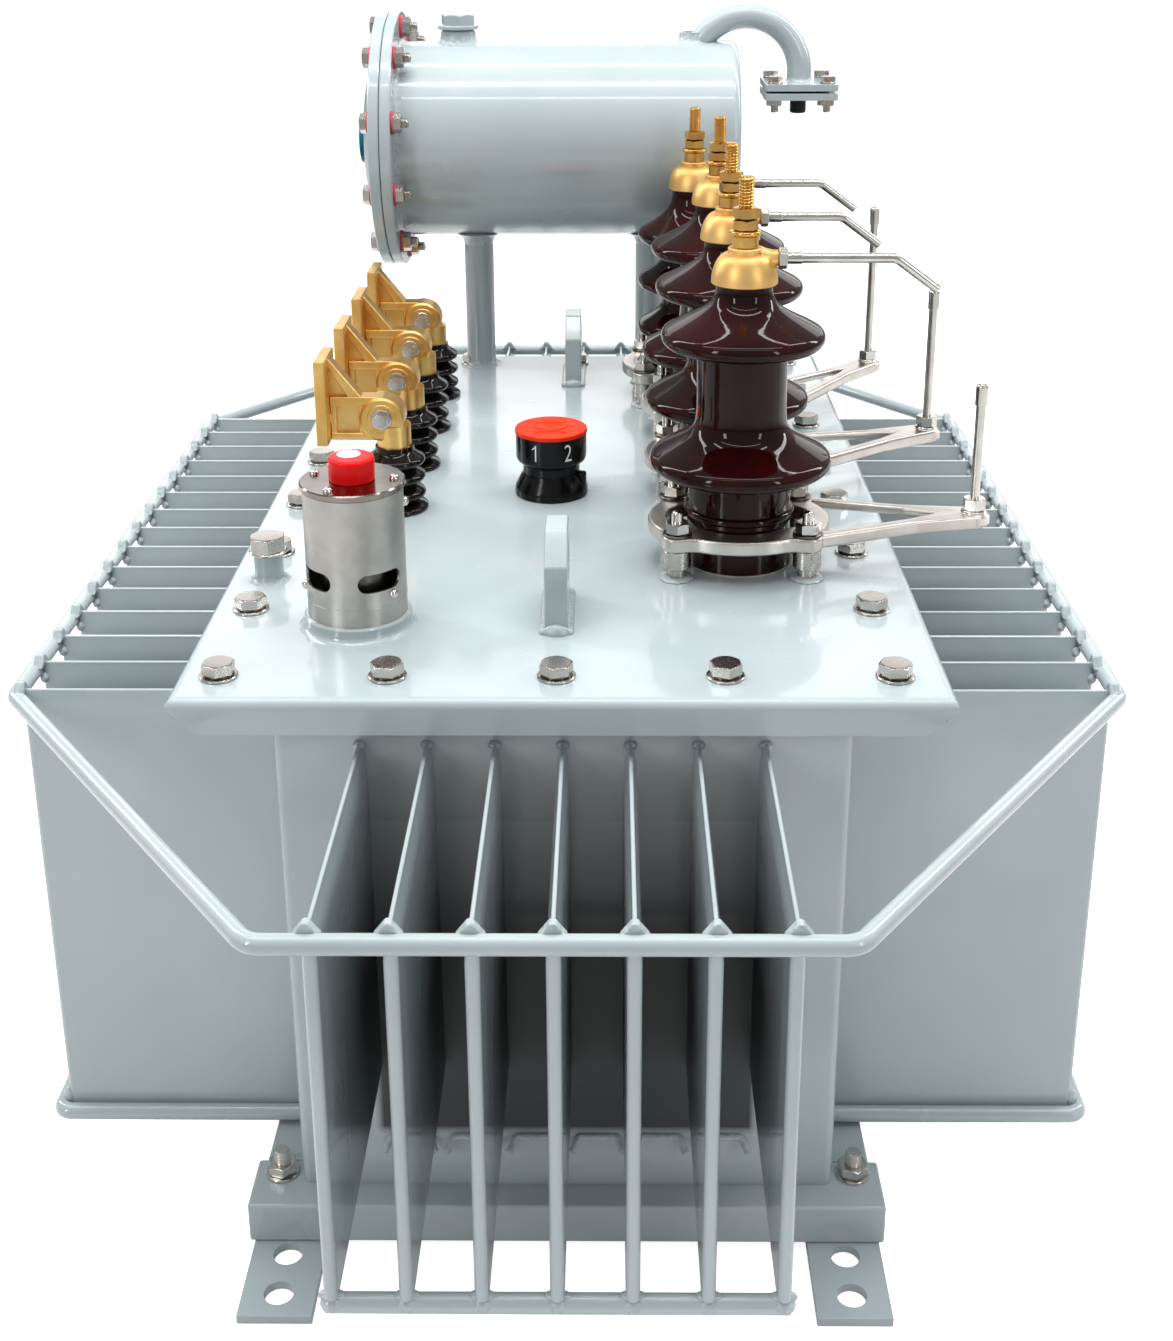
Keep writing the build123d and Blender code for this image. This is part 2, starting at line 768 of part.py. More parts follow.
def lv_bushings():
    """Short bushings with small round-edged sheds on a broad foot."""
    rim = lv_shed_rim_radius
    lines = straight((0, 0), (lv_foot_radius, 0), (lv_foot_radius, lv_foot_height / 2),
                     (lv_core_radius, lv_foot_height))
    level = lv_foot_height
    for i in range(lv_shed_count):
        z = lv_shed_pitch * (i + 1)
        low, high = z - rim, z + rim
        lines += straight((lv_core_radius, level), (lv_core_radius, low), (lv_shed_radius - rim, low))
        lines.append(ThreePointArc((lv_shed_radius - rim, 0, low), (lv_shed_radius, 0, z),
                                   (lv_shed_radius - rim, 0, high)))
        level = z + lv_shed_rise
        lines += straight((lv_shed_radius - rim, high), (lv_core_radius, level))
    lines += straight((lv_core_radius, level), (lv_core_radius, lv_height), (0, lv_height), (0, 0))
    one = turned_from(lines)
    return Compound([Pos(x, y, lid_top) * one for x, y in lv_places()])


def web_plate(points, thickness):
    """An upright plate in the plane of X and Z, half its thickness to either side."""
    return Pos(0, thickness / 2, 0) * extrude(Plane.XZ * make_face(Polyline(*points, close=True)), thickness)


def lv_terminal():
    """A cast clamp: a socket on the stem, a lobe for its bolt, a palm, and a thin web with ribs round it."""
    lobe_y = lv_lobe_thickness / 2
    socket = post(0, 0, lv_height, lv_clamp_radius, lv_clamp_height)
    lobe = rod((lv_lobe_offset, -lobe_y, lv_lobe_z), (lv_lobe_offset, lobe_y, lv_lobe_z), lv_lobe_radius)
    face = palm_thickness / 2 - palm_offset
    palm = block(face - palm_thickness, face, -palm_width / 2, palm_width / 2, palm_bottom, palm_top)
    for sign in (-1, 1):
        z = (palm_bottom + palm_top) / 2 + sign * palm_hole_pitch / 2
        palm -= rod((face - 2 * palm_thickness, 0, z), (face + palm_thickness, 0, z), palm_hole_radius)
    shelf = lv_lobe_z + lv_lobe_radius
    rib = palm_rib_thickness
    web = web_plate([(face, palm_bottom), (face, palm_top), (face + palm_brace_run, shelf - rib),
                     (lv_lobe_offset, shelf - rib), (lv_lobe_offset, palm_bottom)], palm_web_thickness)
    for low in (shelf - rib, palm_bottom):
        web += block(face, lv_lobe_offset, -palm_rib_width / 2, palm_rib_width / 2, low, low + rib)
    elbow = face + palm_brace_run
    web += web_plate([(face, palm_top), (elbow, shelf), (elbow - rib, shelf - rib),
                      (face, palm_top - 2 * rib)], palm_rib_width)
    return socket + lobe + palm + web


def lv_terminals():
    one = lv_terminal()
    return Compound([Pos(x, y, lid_top) * one for x, y in lv_places()])


# Deck fittings
def lifting_lugs():
    lugs = []
    for y in (from_front(lug_front), lid_length / 2 - lug_back_margin):
        half = lug_length / 2
        outline = Polyline((y - half, lid_top), (y + half, lid_top), (y + half, lid_top + lug_height - lug_chamfer),
                           (y + half - lug_chamfer, lid_top + lug_height),
                           (y - half + lug_chamfer, lid_top + lug_height),
                           (y - half, lid_top + lug_height - lug_chamfer), close=True)
        plate = Pos(lug_x - lug_thickness / 2, 0, 0) * extrude(Plane.YZ * make_face(outline), lug_thickness)
        lugs.append(plate - rod((lug_x - lug_thickness, y, lid_top + lug_hole_z),
                                (lug_x + lug_thickness, y, lid_top + lug_hole_z), lug_hole_radius))
    return Compound(lugs)


def tap_changer():
    """A ring foot, a waist and a round head, with a pointer that stands beside them."""
    edge = tap_drum_edge
    top = tap_waist_height + tap_drum_height
    lines = straight((0, 0), (tap_foot_radius, 0), (tap_foot_radius, tap_foot_edge))
    lines.append(Bezier((tap_foot_radius, 0, tap_foot_edge), (tap_waist_radius, 0, tap_foot_edge),
                        (tap_waist_radius, 0, tap_foot_height)))
    lines += straight((tap_waist_radius, tap_foot_height), (tap_waist_radius, tap_waist_height),
                      (tap_drum_radius - edge, tap_waist_height), (tap_drum_radius, tap_waist_height + edge),
                      (tap_drum_radius, top), (0, top), (0, 0))
    head = turned_from(lines)
    pointer = block(tap_waist_radius - pointer_bite, tap_waist_radius + pointer_width,
                    -pointer_depth / 2, pointer_depth / 2, 0, pointer_height)
    return Pos(tap_x, from_front(tap_y), lid_top) * (head + pointer)


def tap_cap():
    z = lid_top + tap_waist_height + tap_drum_height
    cap = post(tap_x, from_front(tap_y), z, tap_cap_radius, tap_cap_height)
    return fillet(cap.edges().group_by(Axis.Z)[-1], tap_cap_edge)


def relief_ring():
    return post(relief_x, from_front(relief_y), lid_top, relief_ring_radius, relief_ring_height)


def relief_body():
    """A thin sleeve with round-ended slots that let the vented oil out."""
    height = relief_body_height - relief_ring_height
    sleeve = extrude(Circle(relief_body_radius) - Circle(relief_body_radius - relief_wall), height)
    for turn in range(relief_slot_count):
        slot = SlotOverall(relief_slot_length, relief_slot_height, rotation=90)
        wall = Plane(origin=(0, 0, relief_slot_z - relief_ring_height), x_dir=(0, 0, 1), z_dir=(1, 0, 0))
        cutter = extrude(wall * slot, 2 * relief_body_radius)
        sleeve -= Rot(0, 0, 360 * (turn + 0.5) / relief_slot_count) * cutter
    return Pos(relief_x, from_front(relief_y), lid_top + relief_ring_height) * sleeve


def relief_plate():
    return post(relief_x, from_front(relief_y), lid_top + relief_body_height, relief_plate_radius,
                relief_plate_thickness)


def relief_cap():
    cap = post(relief_x, from_front(relief_y), lid_top + relief_body_height + relief_plate_thickness,
               relief_cap_radius, relief_cap_height)
    return fillet(cap.edges().group_by(Axis.Z)[-1], relief_cap_edge)


def stub_and_cap():
    x, y = stub_x, from_front(stub_y)
    pipe = post(x, y, lid_top, stub_radius, stub_height)
    washer = post(x, y, lid_top + stub_height, stub_washer_radius, stub_washer_height)
    cap = hexagon(x, y, lid_top + stub_height + stub_washer_height, stub_cap_width, stub_cap_height)
    return pipe + washer + cap


save("foot_plates", foot_plates())
save("base_channel_front", base_channel(-1))
save("base_channel_back", base_channel(1))
save("base_side_members", base_side_members())
save("tank_body", tank_body())
save("tank_rim", tank_rim())
save("lid", lid())
save("front_fins", end_fins(-1))
save("back_fins", end_fins(1))
save("left_fins", side_fins(-1))
save("right_fins", side_fins(1))
save("top_bar_front", top_bar_end(-1))
save("top_bar_back", top_bar_end(1))
save("top_bar_left", top_bar_side(-1))
save("top_bar_right", top_bar_side(1))
save("top_bar_diagonals", top_bar_diagonals())
save("bottom_bar_front", bottom_bar_end(-1))
save("bottom_bar_back", bottom_bar_end(1))
save("bottom_bar_left", bottom_bar_side(-1))
save("bottom_bar_right", bottom_bar_side(1))
save("conservator_shell", conservator_shell())
save("conservator_flange", conservator_flange())
save("conservator_cover", conservator_cover())
save("oil_gauge", oil_gauge())
save("conservator_legs", conservator_legs())
save("filler_cap", filler_cap())
save("breather_pipe", breather_pipe())
save("breather_flanges", breather_flanges())
for number in range(hv_phases + 1):
    save(f"hv_bushing_{number + 1}", hv_bushing(number))
save("hv_caps", hv_caps())
save("hv_studs", hv_studs())
save("hv_clamps", hv_clamps())
save("upper_horns", upper_horns())
save("lower_horns", lower_horns())
save("lv_bushings", lv_bushings())
save("lv_terminals", lv_terminals())
save("lifting_lugs", lifting_lugs())
save("tap_changer", tap_changer())
save("tap_cap", tap_cap())
save("relief_ring", relief_ring())
save("relief_body", relief_body())
save("relief_plate", relief_plate())
save("relief_cap", relief_cap())
save("stub_pipe", stub_and_cap())
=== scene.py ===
"""The dressed power transformer: camera, light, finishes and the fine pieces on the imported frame.

Shapes are modelled in millimetres in the CAD frame, and Piece.done scales each finished mesh to metres.
"""
from math import atan2, cos, degrees, hypot, pi, radians, sin, sqrt, tan, tau

import bmesh
import bpy
from bmesh.types import BMEdge, BMVert
from mathutils import Matrix, Vector
from mathutils.geometry import interpolate_bezier


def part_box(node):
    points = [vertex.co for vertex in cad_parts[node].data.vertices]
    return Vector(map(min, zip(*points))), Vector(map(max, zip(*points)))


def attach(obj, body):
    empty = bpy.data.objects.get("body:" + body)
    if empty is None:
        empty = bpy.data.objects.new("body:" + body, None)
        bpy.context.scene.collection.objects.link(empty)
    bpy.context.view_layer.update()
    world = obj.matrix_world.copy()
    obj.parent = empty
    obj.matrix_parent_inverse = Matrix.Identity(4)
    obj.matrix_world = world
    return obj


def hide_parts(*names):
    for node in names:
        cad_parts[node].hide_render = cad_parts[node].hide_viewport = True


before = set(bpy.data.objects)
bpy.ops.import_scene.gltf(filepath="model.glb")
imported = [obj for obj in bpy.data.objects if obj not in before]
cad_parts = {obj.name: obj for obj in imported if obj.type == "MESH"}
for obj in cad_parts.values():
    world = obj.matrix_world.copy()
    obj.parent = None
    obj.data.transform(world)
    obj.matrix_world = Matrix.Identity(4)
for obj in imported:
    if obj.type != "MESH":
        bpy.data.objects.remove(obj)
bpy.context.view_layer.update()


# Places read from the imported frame, in millimetres
def spot(node):
    """Lowest and highest corner of a CAD node."""
    low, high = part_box(node)
    return low * 1000, high * 1000


def middle(node):
    low, high = spot(node)
    return (low + high) / 2


LID_LOW, LID_HIGH = spot("lid")
DECK = LID_HIGH.z
END_LOW, END_HIGH = spot("back_fins")
SIDE_LOW, SIDE_HIGH = spot("right_fins")
END_FINS, SIDE_FINS = 7, 15
FIN_HALF = 4.25
FIN_PITCH = (END_HIGH.x - END_LOW.x - 2 * FIN_HALF) / (END_FINS - 1)
BAR_RADIUS = 6
# The seam under the end fins lies a little nearer the base channel than the fins
LEDGE = 0.42 * END_LOW.z + 0.58 * spot("base_channel_front")[1].z


def row_of(count, pitch=FIN_PITCH):
    """Places along a row whose middle is at 0."""
    return [(i - (count - 1) / 2) * pitch for i in range(count)]


def polar(reach, turn):
    """A place so far from the middle, in a direction given in degrees."""
    return reach * cos(radians(turn)), reach * sin(radians(turn))


# Finishes
class Signal:
    """A shader socket that takes part in sums."""

    def __init__(self, nodes, socket):
        self.nodes = nodes
        self.socket = socket

    def __add__(self, other):
        return self.nodes.node("Math", {"operation": "ADD"}, {0: self, 1: other})

    def __mul__(self, other):
        return self.nodes.node("Math", {"operation": "MULTIPLY"}, {0: self, 1: other})

    __radd__ = __add__
    __rmul__ = __mul__


class Nodes:
    """A node tree that nodes are added to."""

    def __init__(self, tree):
        self.tree = tree

    def node(self, kind, settings, sockets, output=0):
        """Add one node: its type, settings, the values or links of its sockets, and the output used."""
        made = self.tree.nodes.new("ShaderNode" + kind)
        for name, value in settings.items():
            setattr(made, name, value)
        for key, value in sockets.items():
            if isinstance(value, Signal):
                self.tree.links.new(value.socket, made.inputs[key])
            else:
                made.inputs[key].default_value = value
        return Signal(self, made.outputs[output])


class Finish(Nodes):
    """A material: constants on the shader's own sockets, and patterns that feed some of them."""

    def __init__(self, name, **constants):
        self.material = bpy.data.materials.new(name)
        self.material.use_nodes = True
        super().__init__(self.material.node_tree)
        self.shader = self.tree.nodes["Principled BSDF"]
        for socket, value in constants.items():
            self.shader.inputs[socket.replace("_", " ")].default_value = value
        self.place = self.node("TexCoord", {}, {}, "Object")

    def feed(self, socket, signal):
        self.tree.links.new(signal.socket, self.shader.inputs[socket])

    def noise(self, size, detail=2.0, stretch=(1, 1, 1)):
        """Noise whose features are about so many metres across, drawn out along an axis by a stretch."""
        placed = self.node("Mapping", {}, {"Vector": self.place, "Scale": stretch})
        return self.node("TexNoise", {}, {"Vector": placed, "Scale": 1 / size, "Detail": detail})

    def between(self, signal, low, high, start=0.0, end=1.0):
        """Spread a signal's range from low to high onto start to end."""
        return self.node("MapRange", {}, {0: signal, 1: low, 2: high, 3: start, 4: end})

    def shade(self, signal, first, second):
        """A colour that runs from the first to the second as the signal goes from 0 to 1."""
        return self.node("Mix", {"data_type": "RGBA"}, {0: signal, 6: first, 7: second}, 2)

    def relief(self, signal, depth, strength=1.0):
        """Bump from a signal, its depth in metres."""
        bump = self.node("Bump", {}, {"Strength": strength, "Distance": depth, "Height": signal})
        self.feed("Normal", bump)


def linear(red, green, blue):
    """A colour given as it shows on a screen, 0 to 255."""
    values = [c / 255 for c in (red, green, blue)]
    return (*[v / 12.92 if v <= 0.04045 else ((v + 0.055) / 1.055) ** 2.4 for v in values], 1)


def enamel(paint):
    """Blue-grey enamel, a little cleaner or duller from place to place."""
    drift = paint.between(paint.noise(0.16, 3), 0.3, 0.7)
    return paint.shade(drift, linear(162, 174, 177), linear(172, 183, 186))


def sprayed(paint):
    """The slow waves and the faint orange peel of a sprayed coat."""
    paint.relief(paint.noise(0.02, 1) * 0.7 + paint.noise(0.0025, 1) * 0.06, 0.0006, 0.35)


def gloss_paint():
    paint = Finish("gloss_paint", Coat_Roughness=0.06)
    paint.feed("Base Color", enamel(paint))
    paint.feed("Roughness", paint.between(paint.noise(0.05, 4), 0.3, 0.75, 0.16, 0.3))
    paint.feed("Coat Weight", paint.between(paint.noise(0.16, 3), 0.3, 0.7, 0.5, 0.8))
    sprayed(paint)
    return paint.material


def shaded_fin_enamel():
    """The same enamel with painted shade deep between the fins: darker towards the walls and below the top,
    with a rougher and thinner coat there.
    """
    paint = Finish("fin_paint_painted_shade", Coat_Roughness=0.06)
    x, y, z = [paint.node("SeparateXYZ", {}, {0: paint.place}, axis) for axis in "XYZ"]
    x, y = [paint.node("Math", {"operation": "ABSOLUTE"}, {0: way}) for way in (x, y)]

    def up_to(signal, start, end):
        """1 as far as the start, then down to 0 at the end, both in millimetres."""
        return paint.between(signal, start / 1000, end / 1000, 1, 0)

    def past(signal, start, end):
        return paint.between(signal, start / 1000, end / 1000)

    # Masks for the painted shade: between the end fins and between the side fins, full near the walls, from
    # just above the ledge up to 150 mm below the top, fading out above
    ends = up_to(x, END_HIGH.x - 8, END_HIGH.x - 2) * past(y, END_LOW.y - 22, END_LOW.y - 20)
    sides = up_to(y, SIDE_HIGH.y - 8, SIDE_HIGH.y - 2) * past(x, SIDE_LOW.x - 22, SIDE_LOW.x - 20)
    ends *= up_to(y, END_LOW.y + 60, END_HIGH.y - 30)
    sides *= up_to(x, SIDE_LOW.x + 60, SIDE_HIGH.x - 30)
    level = up_to(z, END_HIGH.z - 150, END_HIGH.z - 12) * past(z, LEDGE + 1, LEDGE + 8)
    depth = (ends + sides) * level
    # Painted shade: the colour runs from the enamel to a dark grey deep between the fins
    paint.feed("Base Color", paint.shade(depth, enamel(paint), linear(40, 48, 50)))
    paint.feed("Roughness", paint.between(depth, 0, 1, 0.2, 0.42))
    paint.feed("Coat Weight", paint.between(depth, 0, 1, 0.65, 0.1))
    sprayed(paint)
    return paint.material


def weld_paint():
    """The same enamel over rough weld beads."""
    paint = Finish("weld_paint", Roughness=0.2, Coat_Roughness=0.06, Coat_Weight=0.6)
    lumps = paint.noise(0.004, 3)
    worn = paint.between(lumps, 0.3, 0.7)
    paint.feed("Base Color", paint.shade(worn, linear(158, 170, 173), linear(178, 189, 192)))
    paint.relief(lumps, 0.0016, 0.8)
    return paint.material


def brown_glaze():
    """Thick dark brown glaze, thinner and redder in places."""
    glaze = Finish("brown_glaze", Roughness=0.04, IOR=1.31)
    cloud = glaze.between(glaze.noise(0.03, 3), 0.35, 0.7)
    glaze.feed("Base Color", glaze.shade(cloud, linear(27, 5, 6), linear(44, 7, 7)))
    glaze.relief(glaze.noise(0.018, 1), 0.0006, 0.25)
    return glaze.material


def black_glaze():
    glaze = Finish("black_glaze", Roughness=0.05, IOR=1.4)
    cloud = glaze.between(glaze.noise(0.02, 3), 0.35, 0.7)
    glaze.feed("Base Color", glaze.shade(cloud, linear(12, 9, 9), linear(24, 15, 14)))
    glaze.relief(glaze.noise(0.012, 1), 0.0004, 0.3)
    return glaze.material


def metal(name, dark, light, roughness, grain, depth, stretch=(1, 1, 1)):
    """Bare metal with a grain of so many metres, brushed along an axis by the stretch."""
    finish = Finish(name, Metallic=1.0)
    cloud = finish.noise(0.02, 3)
    fine = finish.noise(grain, 3, stretch)
    tone = finish.between(cloud * 0.92 + fine * 0.08, 0.35, 0.68)
    finish.feed("Base Color", finish.shade(tone, dark, light))
    finish.feed("Roughness", finish.between(fine, 0.3, 0.7, roughness * 0.9, roughness * 1.12))
    finish.relief(fine, depth, 0.5)
    return finish.material


def plastic(name, colour, worn, roughness):
    finish = Finish(name, Specular_IOR_Level=0.22)
    cloud = finish.between(finish.noise(0.012, 4), 0.35, 0.75)
    fine = finish.noise(0.004, 3)
    finish.feed("Base Color", finish.shade(cloud, colour, worn))
    finish.feed("Roughness", finish.between(fine, 0.3, 0.7, roughness * 0.8, roughness * 1.25))
    finish.relief(finish.noise(0.0012, 2), 0.00002, 0.3)
    return finish.material


PAINT = gloss_paint()
FIN_ENAMEL_SHADED = shaded_fin_enamel()
WELD = weld_paint()
BROWN = brown_glaze()
BLACK_GLAZE = black_glaze()
GILT = metal("matt_gilt", linear(236, 188, 112), linear(247, 206, 136), 0.44, 0.0007, 0.00003)
STUD_BRASS = metal("machined_brass", linear(200, 152, 78), linear(228, 184, 108), 0.24, 0.0006, 0.00002,
                   (1, 1, 6))
CAST_BRASS = metal("cast_brass", linear(234, 182, 100), linear(248, 208, 134), 0.36, 0.0009, 0.00003)
ALLOY = metal("satin_alloy", linear(205, 198, 190), linear(222, 216, 209), 0.32, 0.0012, 0.00001)
STEEL = metal("bright_steel", linear(204, 199, 193), linear(224, 220, 214), 0.22, 0.0012, 0.000008)
BRUSHED = metal("brushed_steel", linear(172, 169, 164), linear(190, 187, 182), 0.36, 0.0007, 0.000015,
                (1, 1, 0.05))
POLISHED = metal("polished_steel", linear(126, 118, 111), linear(146, 138, 131), 0.14, 0.002, 0.00001)
BOLT_STEEL = metal("bolt_steel", linear(186, 180, 173), linear(204, 199, 193), 0.26, 0.0014, 0.000005)
DARK_STEEL = metal("dark_steel", linear(92, 88, 85), linear(118, 113, 108), 0.3, 0.0012, 0.00001)
RUBBER = plastic("black_rubber", linear(20, 20, 21), linear(34, 34, 35), 0.6)
TAP_BLACK = plastic("black_moulding", linear(8, 9, 11), linear(16, 17, 19), 0.18)
TAP_ORANGE = plastic("orange_cap", linear(228, 44, 6), linear(240, 58, 12), 0.3)
RED_CAP = plastic("red_cap", linear(226, 4, 10), linear(236, 12, 16), 0.34)
RED_WASHER = plastic("red_fibre", linear(196, 64, 76), linear(214, 92, 102), 0.45)
# White for the tap changer's numerals, and for the painted highlight on the relief cap
WHITE_INK_AND_HIGHLIGHT = plastic("white_ink_and_highlight", linear(232, 232, 230), linear(244, 244, 242), 0.4)
PALE_GASKET = plastic("pale_gasket", linear(160, 156, 146), linear(184, 180, 170), 0.55)
TEAL = plastic("teal_gauge", linear(6, 92, 112), linear(12, 112, 132), 0.1)


# Shapes
def tidy(bm):
    """Join what lies together and point the faces outwards."""
    bmesh.ops.remove_doubles(bm, verts=bm.verts, dist=0.001)
    bmesh.ops.recalc_face_normals(bm, faces=bm.faces)
    return bm


def eased(bm, width, segments=2, over=30):
    """Round off the edges that turn by more than so many degrees."""
    if width > 0:
        edges = [e for e in bm.edges if e.is_manifold and e.calc_face_angle() > radians(over)]
        bmesh.ops.bevel(bm, geom=edges, offset=width, segments=segments, profile=0.5, affect="EDGES",
                        material=-1, clamp_overlap=True)
    return bm


def only(kind, parts):
    """The vertices or the edges among the parts that an operator made."""
    return [part for part in parts if isinstance(part, kind)]


def extruded(bm, row):
    """Extrude a row of edges where it lies, and give its new vertices and its new edges."""
    made = bmesh.ops.extrude_edge_only(bm, edges=row)["geom"]
    verts = only(BMVert, made)
    return verts, [edge for edge in only(BMEdge, made) if all(vert in verts for vert in edge.verts)]


def closed_row(bm, points):
    verts = [bm.verts.new(point) for point in points]
    return [bm.edges.new(pair) for pair in zip(verts, verts[1:] + verts[:1])]


def thickened(bm, thickness):
    """Extrude all faces upwards."""
    grown = bmesh.ops.extrude_face_region(bm, geom=bm.faces[:])
    bmesh.ops.translate(bm, vec=(0, 0, thickness), verts=only(BMVert, grown["geom"]))
    return tidy(bm)


def block(low, high, edge=0.0, segments=2):
    bm = bmesh.new()
    bmesh.ops.create_cube(bm, size=1)
    low, high = Vector(low), Vector(high)
    bmesh.ops.scale(bm, vec=high - low, verts=bm.verts)
    bmesh.ops.translate(bm, vec=(low + high) / 2, verts=bm.verts)
    return eased(bm, edge, segments)


def plate(outline, thickness, edge=0.0, segments=2, holes=()):
    """A flat plate from its outline, z 0 up, with round holes given by their middles and radii."""
    bm = bmesh.new()
    edges = []
    for loop in (outline, *[round_outline(radius, 32, centre) for centre, radius in holes]):
        edges += closed_row(bm, [(x, y, 0) for x, y in loop])
    bmesh.ops.triangle_fill(bm, use_beauty=True, edges=edges)
    bmesh.ops.dissolve_limit(bm, angle_limit=0.01, verts=bm.verts, edges=bm.edges)
    return eased(thickened(bm, thickness), edge, segments)


def round_outline(radius, steps, centre):
    around = [polar(radius, 360 * i / steps) for i in range(steps)]
    return [(centre[0] + x, centre[1] + y) for x, y in around]


def turned(profile, steps=64):
    """A shape turned about Z from radius and height points; off the axis it is closed into a ring."""
    bm = bmesh.new()
    verts = [bm.verts.new((r, 0, z)) for r, z in profile]
    pairs = list(zip(verts, verts[1:]))
    if profile[0][0] > 0:
        pairs.append((verts[-1], verts[0]))
    edges = [bm.edges.new(pair) for pair in pairs]
    bmesh.ops.spin(bm, geom=verts + edges, cent=(0, 0, 0), axis=(0, 0, 1), angle=tau, steps=steps,
                   use_merge=True)
    return tidy(bm)


def arc(centre, radius, start, end, steps=6, rise=1.0):
    """Points on part of a circle or an oval in a profile, angles in degrees from the radius towards Z."""
    turns = [radians(start + (end - start) * i / steps) for i in range(steps + 1)]
    return [(centre[0] + radius * cos(a), centre[1] + radius * rise * sin(a)) for a in turns]


def sweep_line(first, first_pull, last_pull, last, steps=8):
    """Points on a smooth curve in a profile."""
    points = [Vector((*p, 0)) for p in (first, first_pull, last_pull, last)]
    return [(p.x, p.y) for p in interpolate_bezier(*points, steps)]


def disc(radius, height, edge=0.6, steps=48, bore=0.0):
    """A round plate or ring with softened corners, z 0 up."""
    side = [(radius - edge, 0), (radius, edge), (radius, height - edge), (radius - edge, height)]
    return turned([(bore, 0), *side, (bore, height)], steps)


def bar(route, radius, bend=0.0, sides=16, edge=0.0, closed=False):
    """A round bar that follows straight runs and bends at their corners."""
    points = [Vector(p) for p in route]
    if closed:
        seam = (points[-1] + points[0]) / 2
        points = [seam, *points, seam]
    bm = bmesh.new()
    heading = (points[1] - points[0]).normalized()
    bmesh.ops.create_circle(bm, cap_ends=False, radius=radius, segments=sides,
                            matrix=lying(*points[0], heading))
    front = list(bm.edges)
    reached = points[0]
    for i, corner in enumerate(points[1:], 1):
        last = i == len(points) - 1
        onward = heading if last else (points[i + 1] - corner).normalized()
        angle = heading.angle(onward)
        stop = corner - heading * bend * tan(angle / 2)
        verts, front = extruded(bm, front)
        bmesh.ops.translate(bm, vec=stop - reached, verts=verts)
        if angle > 0.01:
            axis = heading.cross(onward).normalized()
            made = bmesh.ops.spin(bm, geom=front, cent=stop + axis.cross(heading) * bend, axis=axis,
                                  angle=angle, steps=max(2, round(angle / 0.12)))
            front = only(BMEdge, made["geom_last"])
            stop = corner + onward * bend * tan(angle / 2)
        heading = onward
        reached = stop
    if not closed:
        bmesh.ops.holes_fill(bm, edges=[e for e in bm.edges if e.is_boundary], sides=0)
    return eased(tidy(bm), edge)


def hexagon(width, height, both=False):
    """A hexagon head or nut with its corners turned off at the top, or at both ends."""
    bm = bmesh.new()
    bmesh.ops.create_circle(bm, cap_ends=False, radius=width / sqrt(3), segments=6)
    bmesh.ops.subdivide_edges(bm, edges=bm.edges, cuts=3)
    flat = width * 0.46
    slope = 0.55

    def crown(row, level, sign):
        """Slope the corners away from a round flat, and close it."""
        for vert in {vert for edge in row for vert in edge.verts}:
            vert.co.z = level + sign * max(0.0, hypot(vert.co.x, vert.co.y) - flat) * slope
        verts, rim = extruded(bm, row)
        for vert in verts:
            way = Vector((vert.co.x, vert.co.y)).normalized() * flat
            vert.co = (way.x, way.y, level)
        bmesh.ops.edgeloop_fill(bm, edges=rim)

    foot = list(bm.edges)
    crown(extruded(bm, foot)[1], height, -1)
    if both:
        crown(foot, 0, 1)
    else:
        bmesh.ops.edgeloop_fill(bm, edges=foot)
    return tidy(bm)


def thread(radius, pitch, length):
    """A screw thread as one winding tooth, and the core it winds round, z 0 up."""
    steps = 20
    depth = pitch * 0.5
    bm = bmesh.new()
    tooth = [(radius - depth, 0), (radius, pitch * 0.42), (radius, pitch * 0.55), (radius - depth, pitch)]
    verts = [bm.verts.new((r, 0, z)) for r, z in tooth]
    edges = [bm.edges.new(pair) for pair in zip(verts, verts[1:])]
    turns = round(length / pitch) - 1
    bmesh.ops.spin(bm, geom=verts + edges, cent=(0, 0, 0), axis=(0, 0, 1), dvec=(0, 0, pitch / steps),
                   angle=tau * turns, steps=steps * turns)
    core = radius - depth * 0.8
    return tidy(bm), turned([(0, 0), (core, 0), (core, length - pitch * 0.7), (radius - depth * 1.5, length),
                             (0, length)], steps)


def ball(radius, squash=(1, 1, 1)):
    bm = bmesh.new()
    bmesh.ops.create_icosphere(bm, subdivisions=2, radius=radius)
    bmesh.ops.scale(bm, vec=squash, verts=bm.verts)
    return bm


def at(x, y, z, turn=0.0):
    """Place a shape, turned by so many degrees about Z."""
    return Matrix.Translation((x, y, z)) @ Matrix.Rotation(radians(turn), 4, "Z")


def lying(x, y, z, heading):
    """Place a shape whose Z runs along a heading."""
    return Matrix.Translation((x, y, z)) @ Vector(heading).to_track_quat("Z", "Y").to_matrix().to_4x4()


class Piece:
    """A finished piece gathered from shapes."""

    def __init__(self, name, finish, slot):
        self.name = name
        self.finish = finish
        self.slot = slot
        self.bm = bmesh.new()

    def add(self, shape, *places):
        """Add one copy of a shape at each place."""
        for place in places or (Matrix.Identity(4),):
            copy = bpy.data.meshes.new("copy")
            shape.to_mesh(copy)
            copy.transform(place)
            self.bm.from_mesh(copy)
            bpy.data.meshes.remove(copy)
        return self

    def done(self, *stands_for):
        """Make the piece an object in metres that stands for some CAD nodes, or for none."""
        mesh = bpy.data.meshes.new(self.name)
        self.bm.to_mesh(mesh)
        self.bm.free()
        mesh.transform(Matrix.Scale(0.001, 4))
        mesh.shade_smooth()
        mesh.set_sharp_from_angle(angle=radians(35))
        mesh.materials.append(self.finish)
        piece = bpy.data.objects.new(self.name, mesh)
        bpy.context.scene.collection.objects.link(piece)
        piece.modifiers.new("flat_faces", "WEIGHTED_NORMAL").keep_sharp = True
        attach(piece, "root")
        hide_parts(*stands_for)


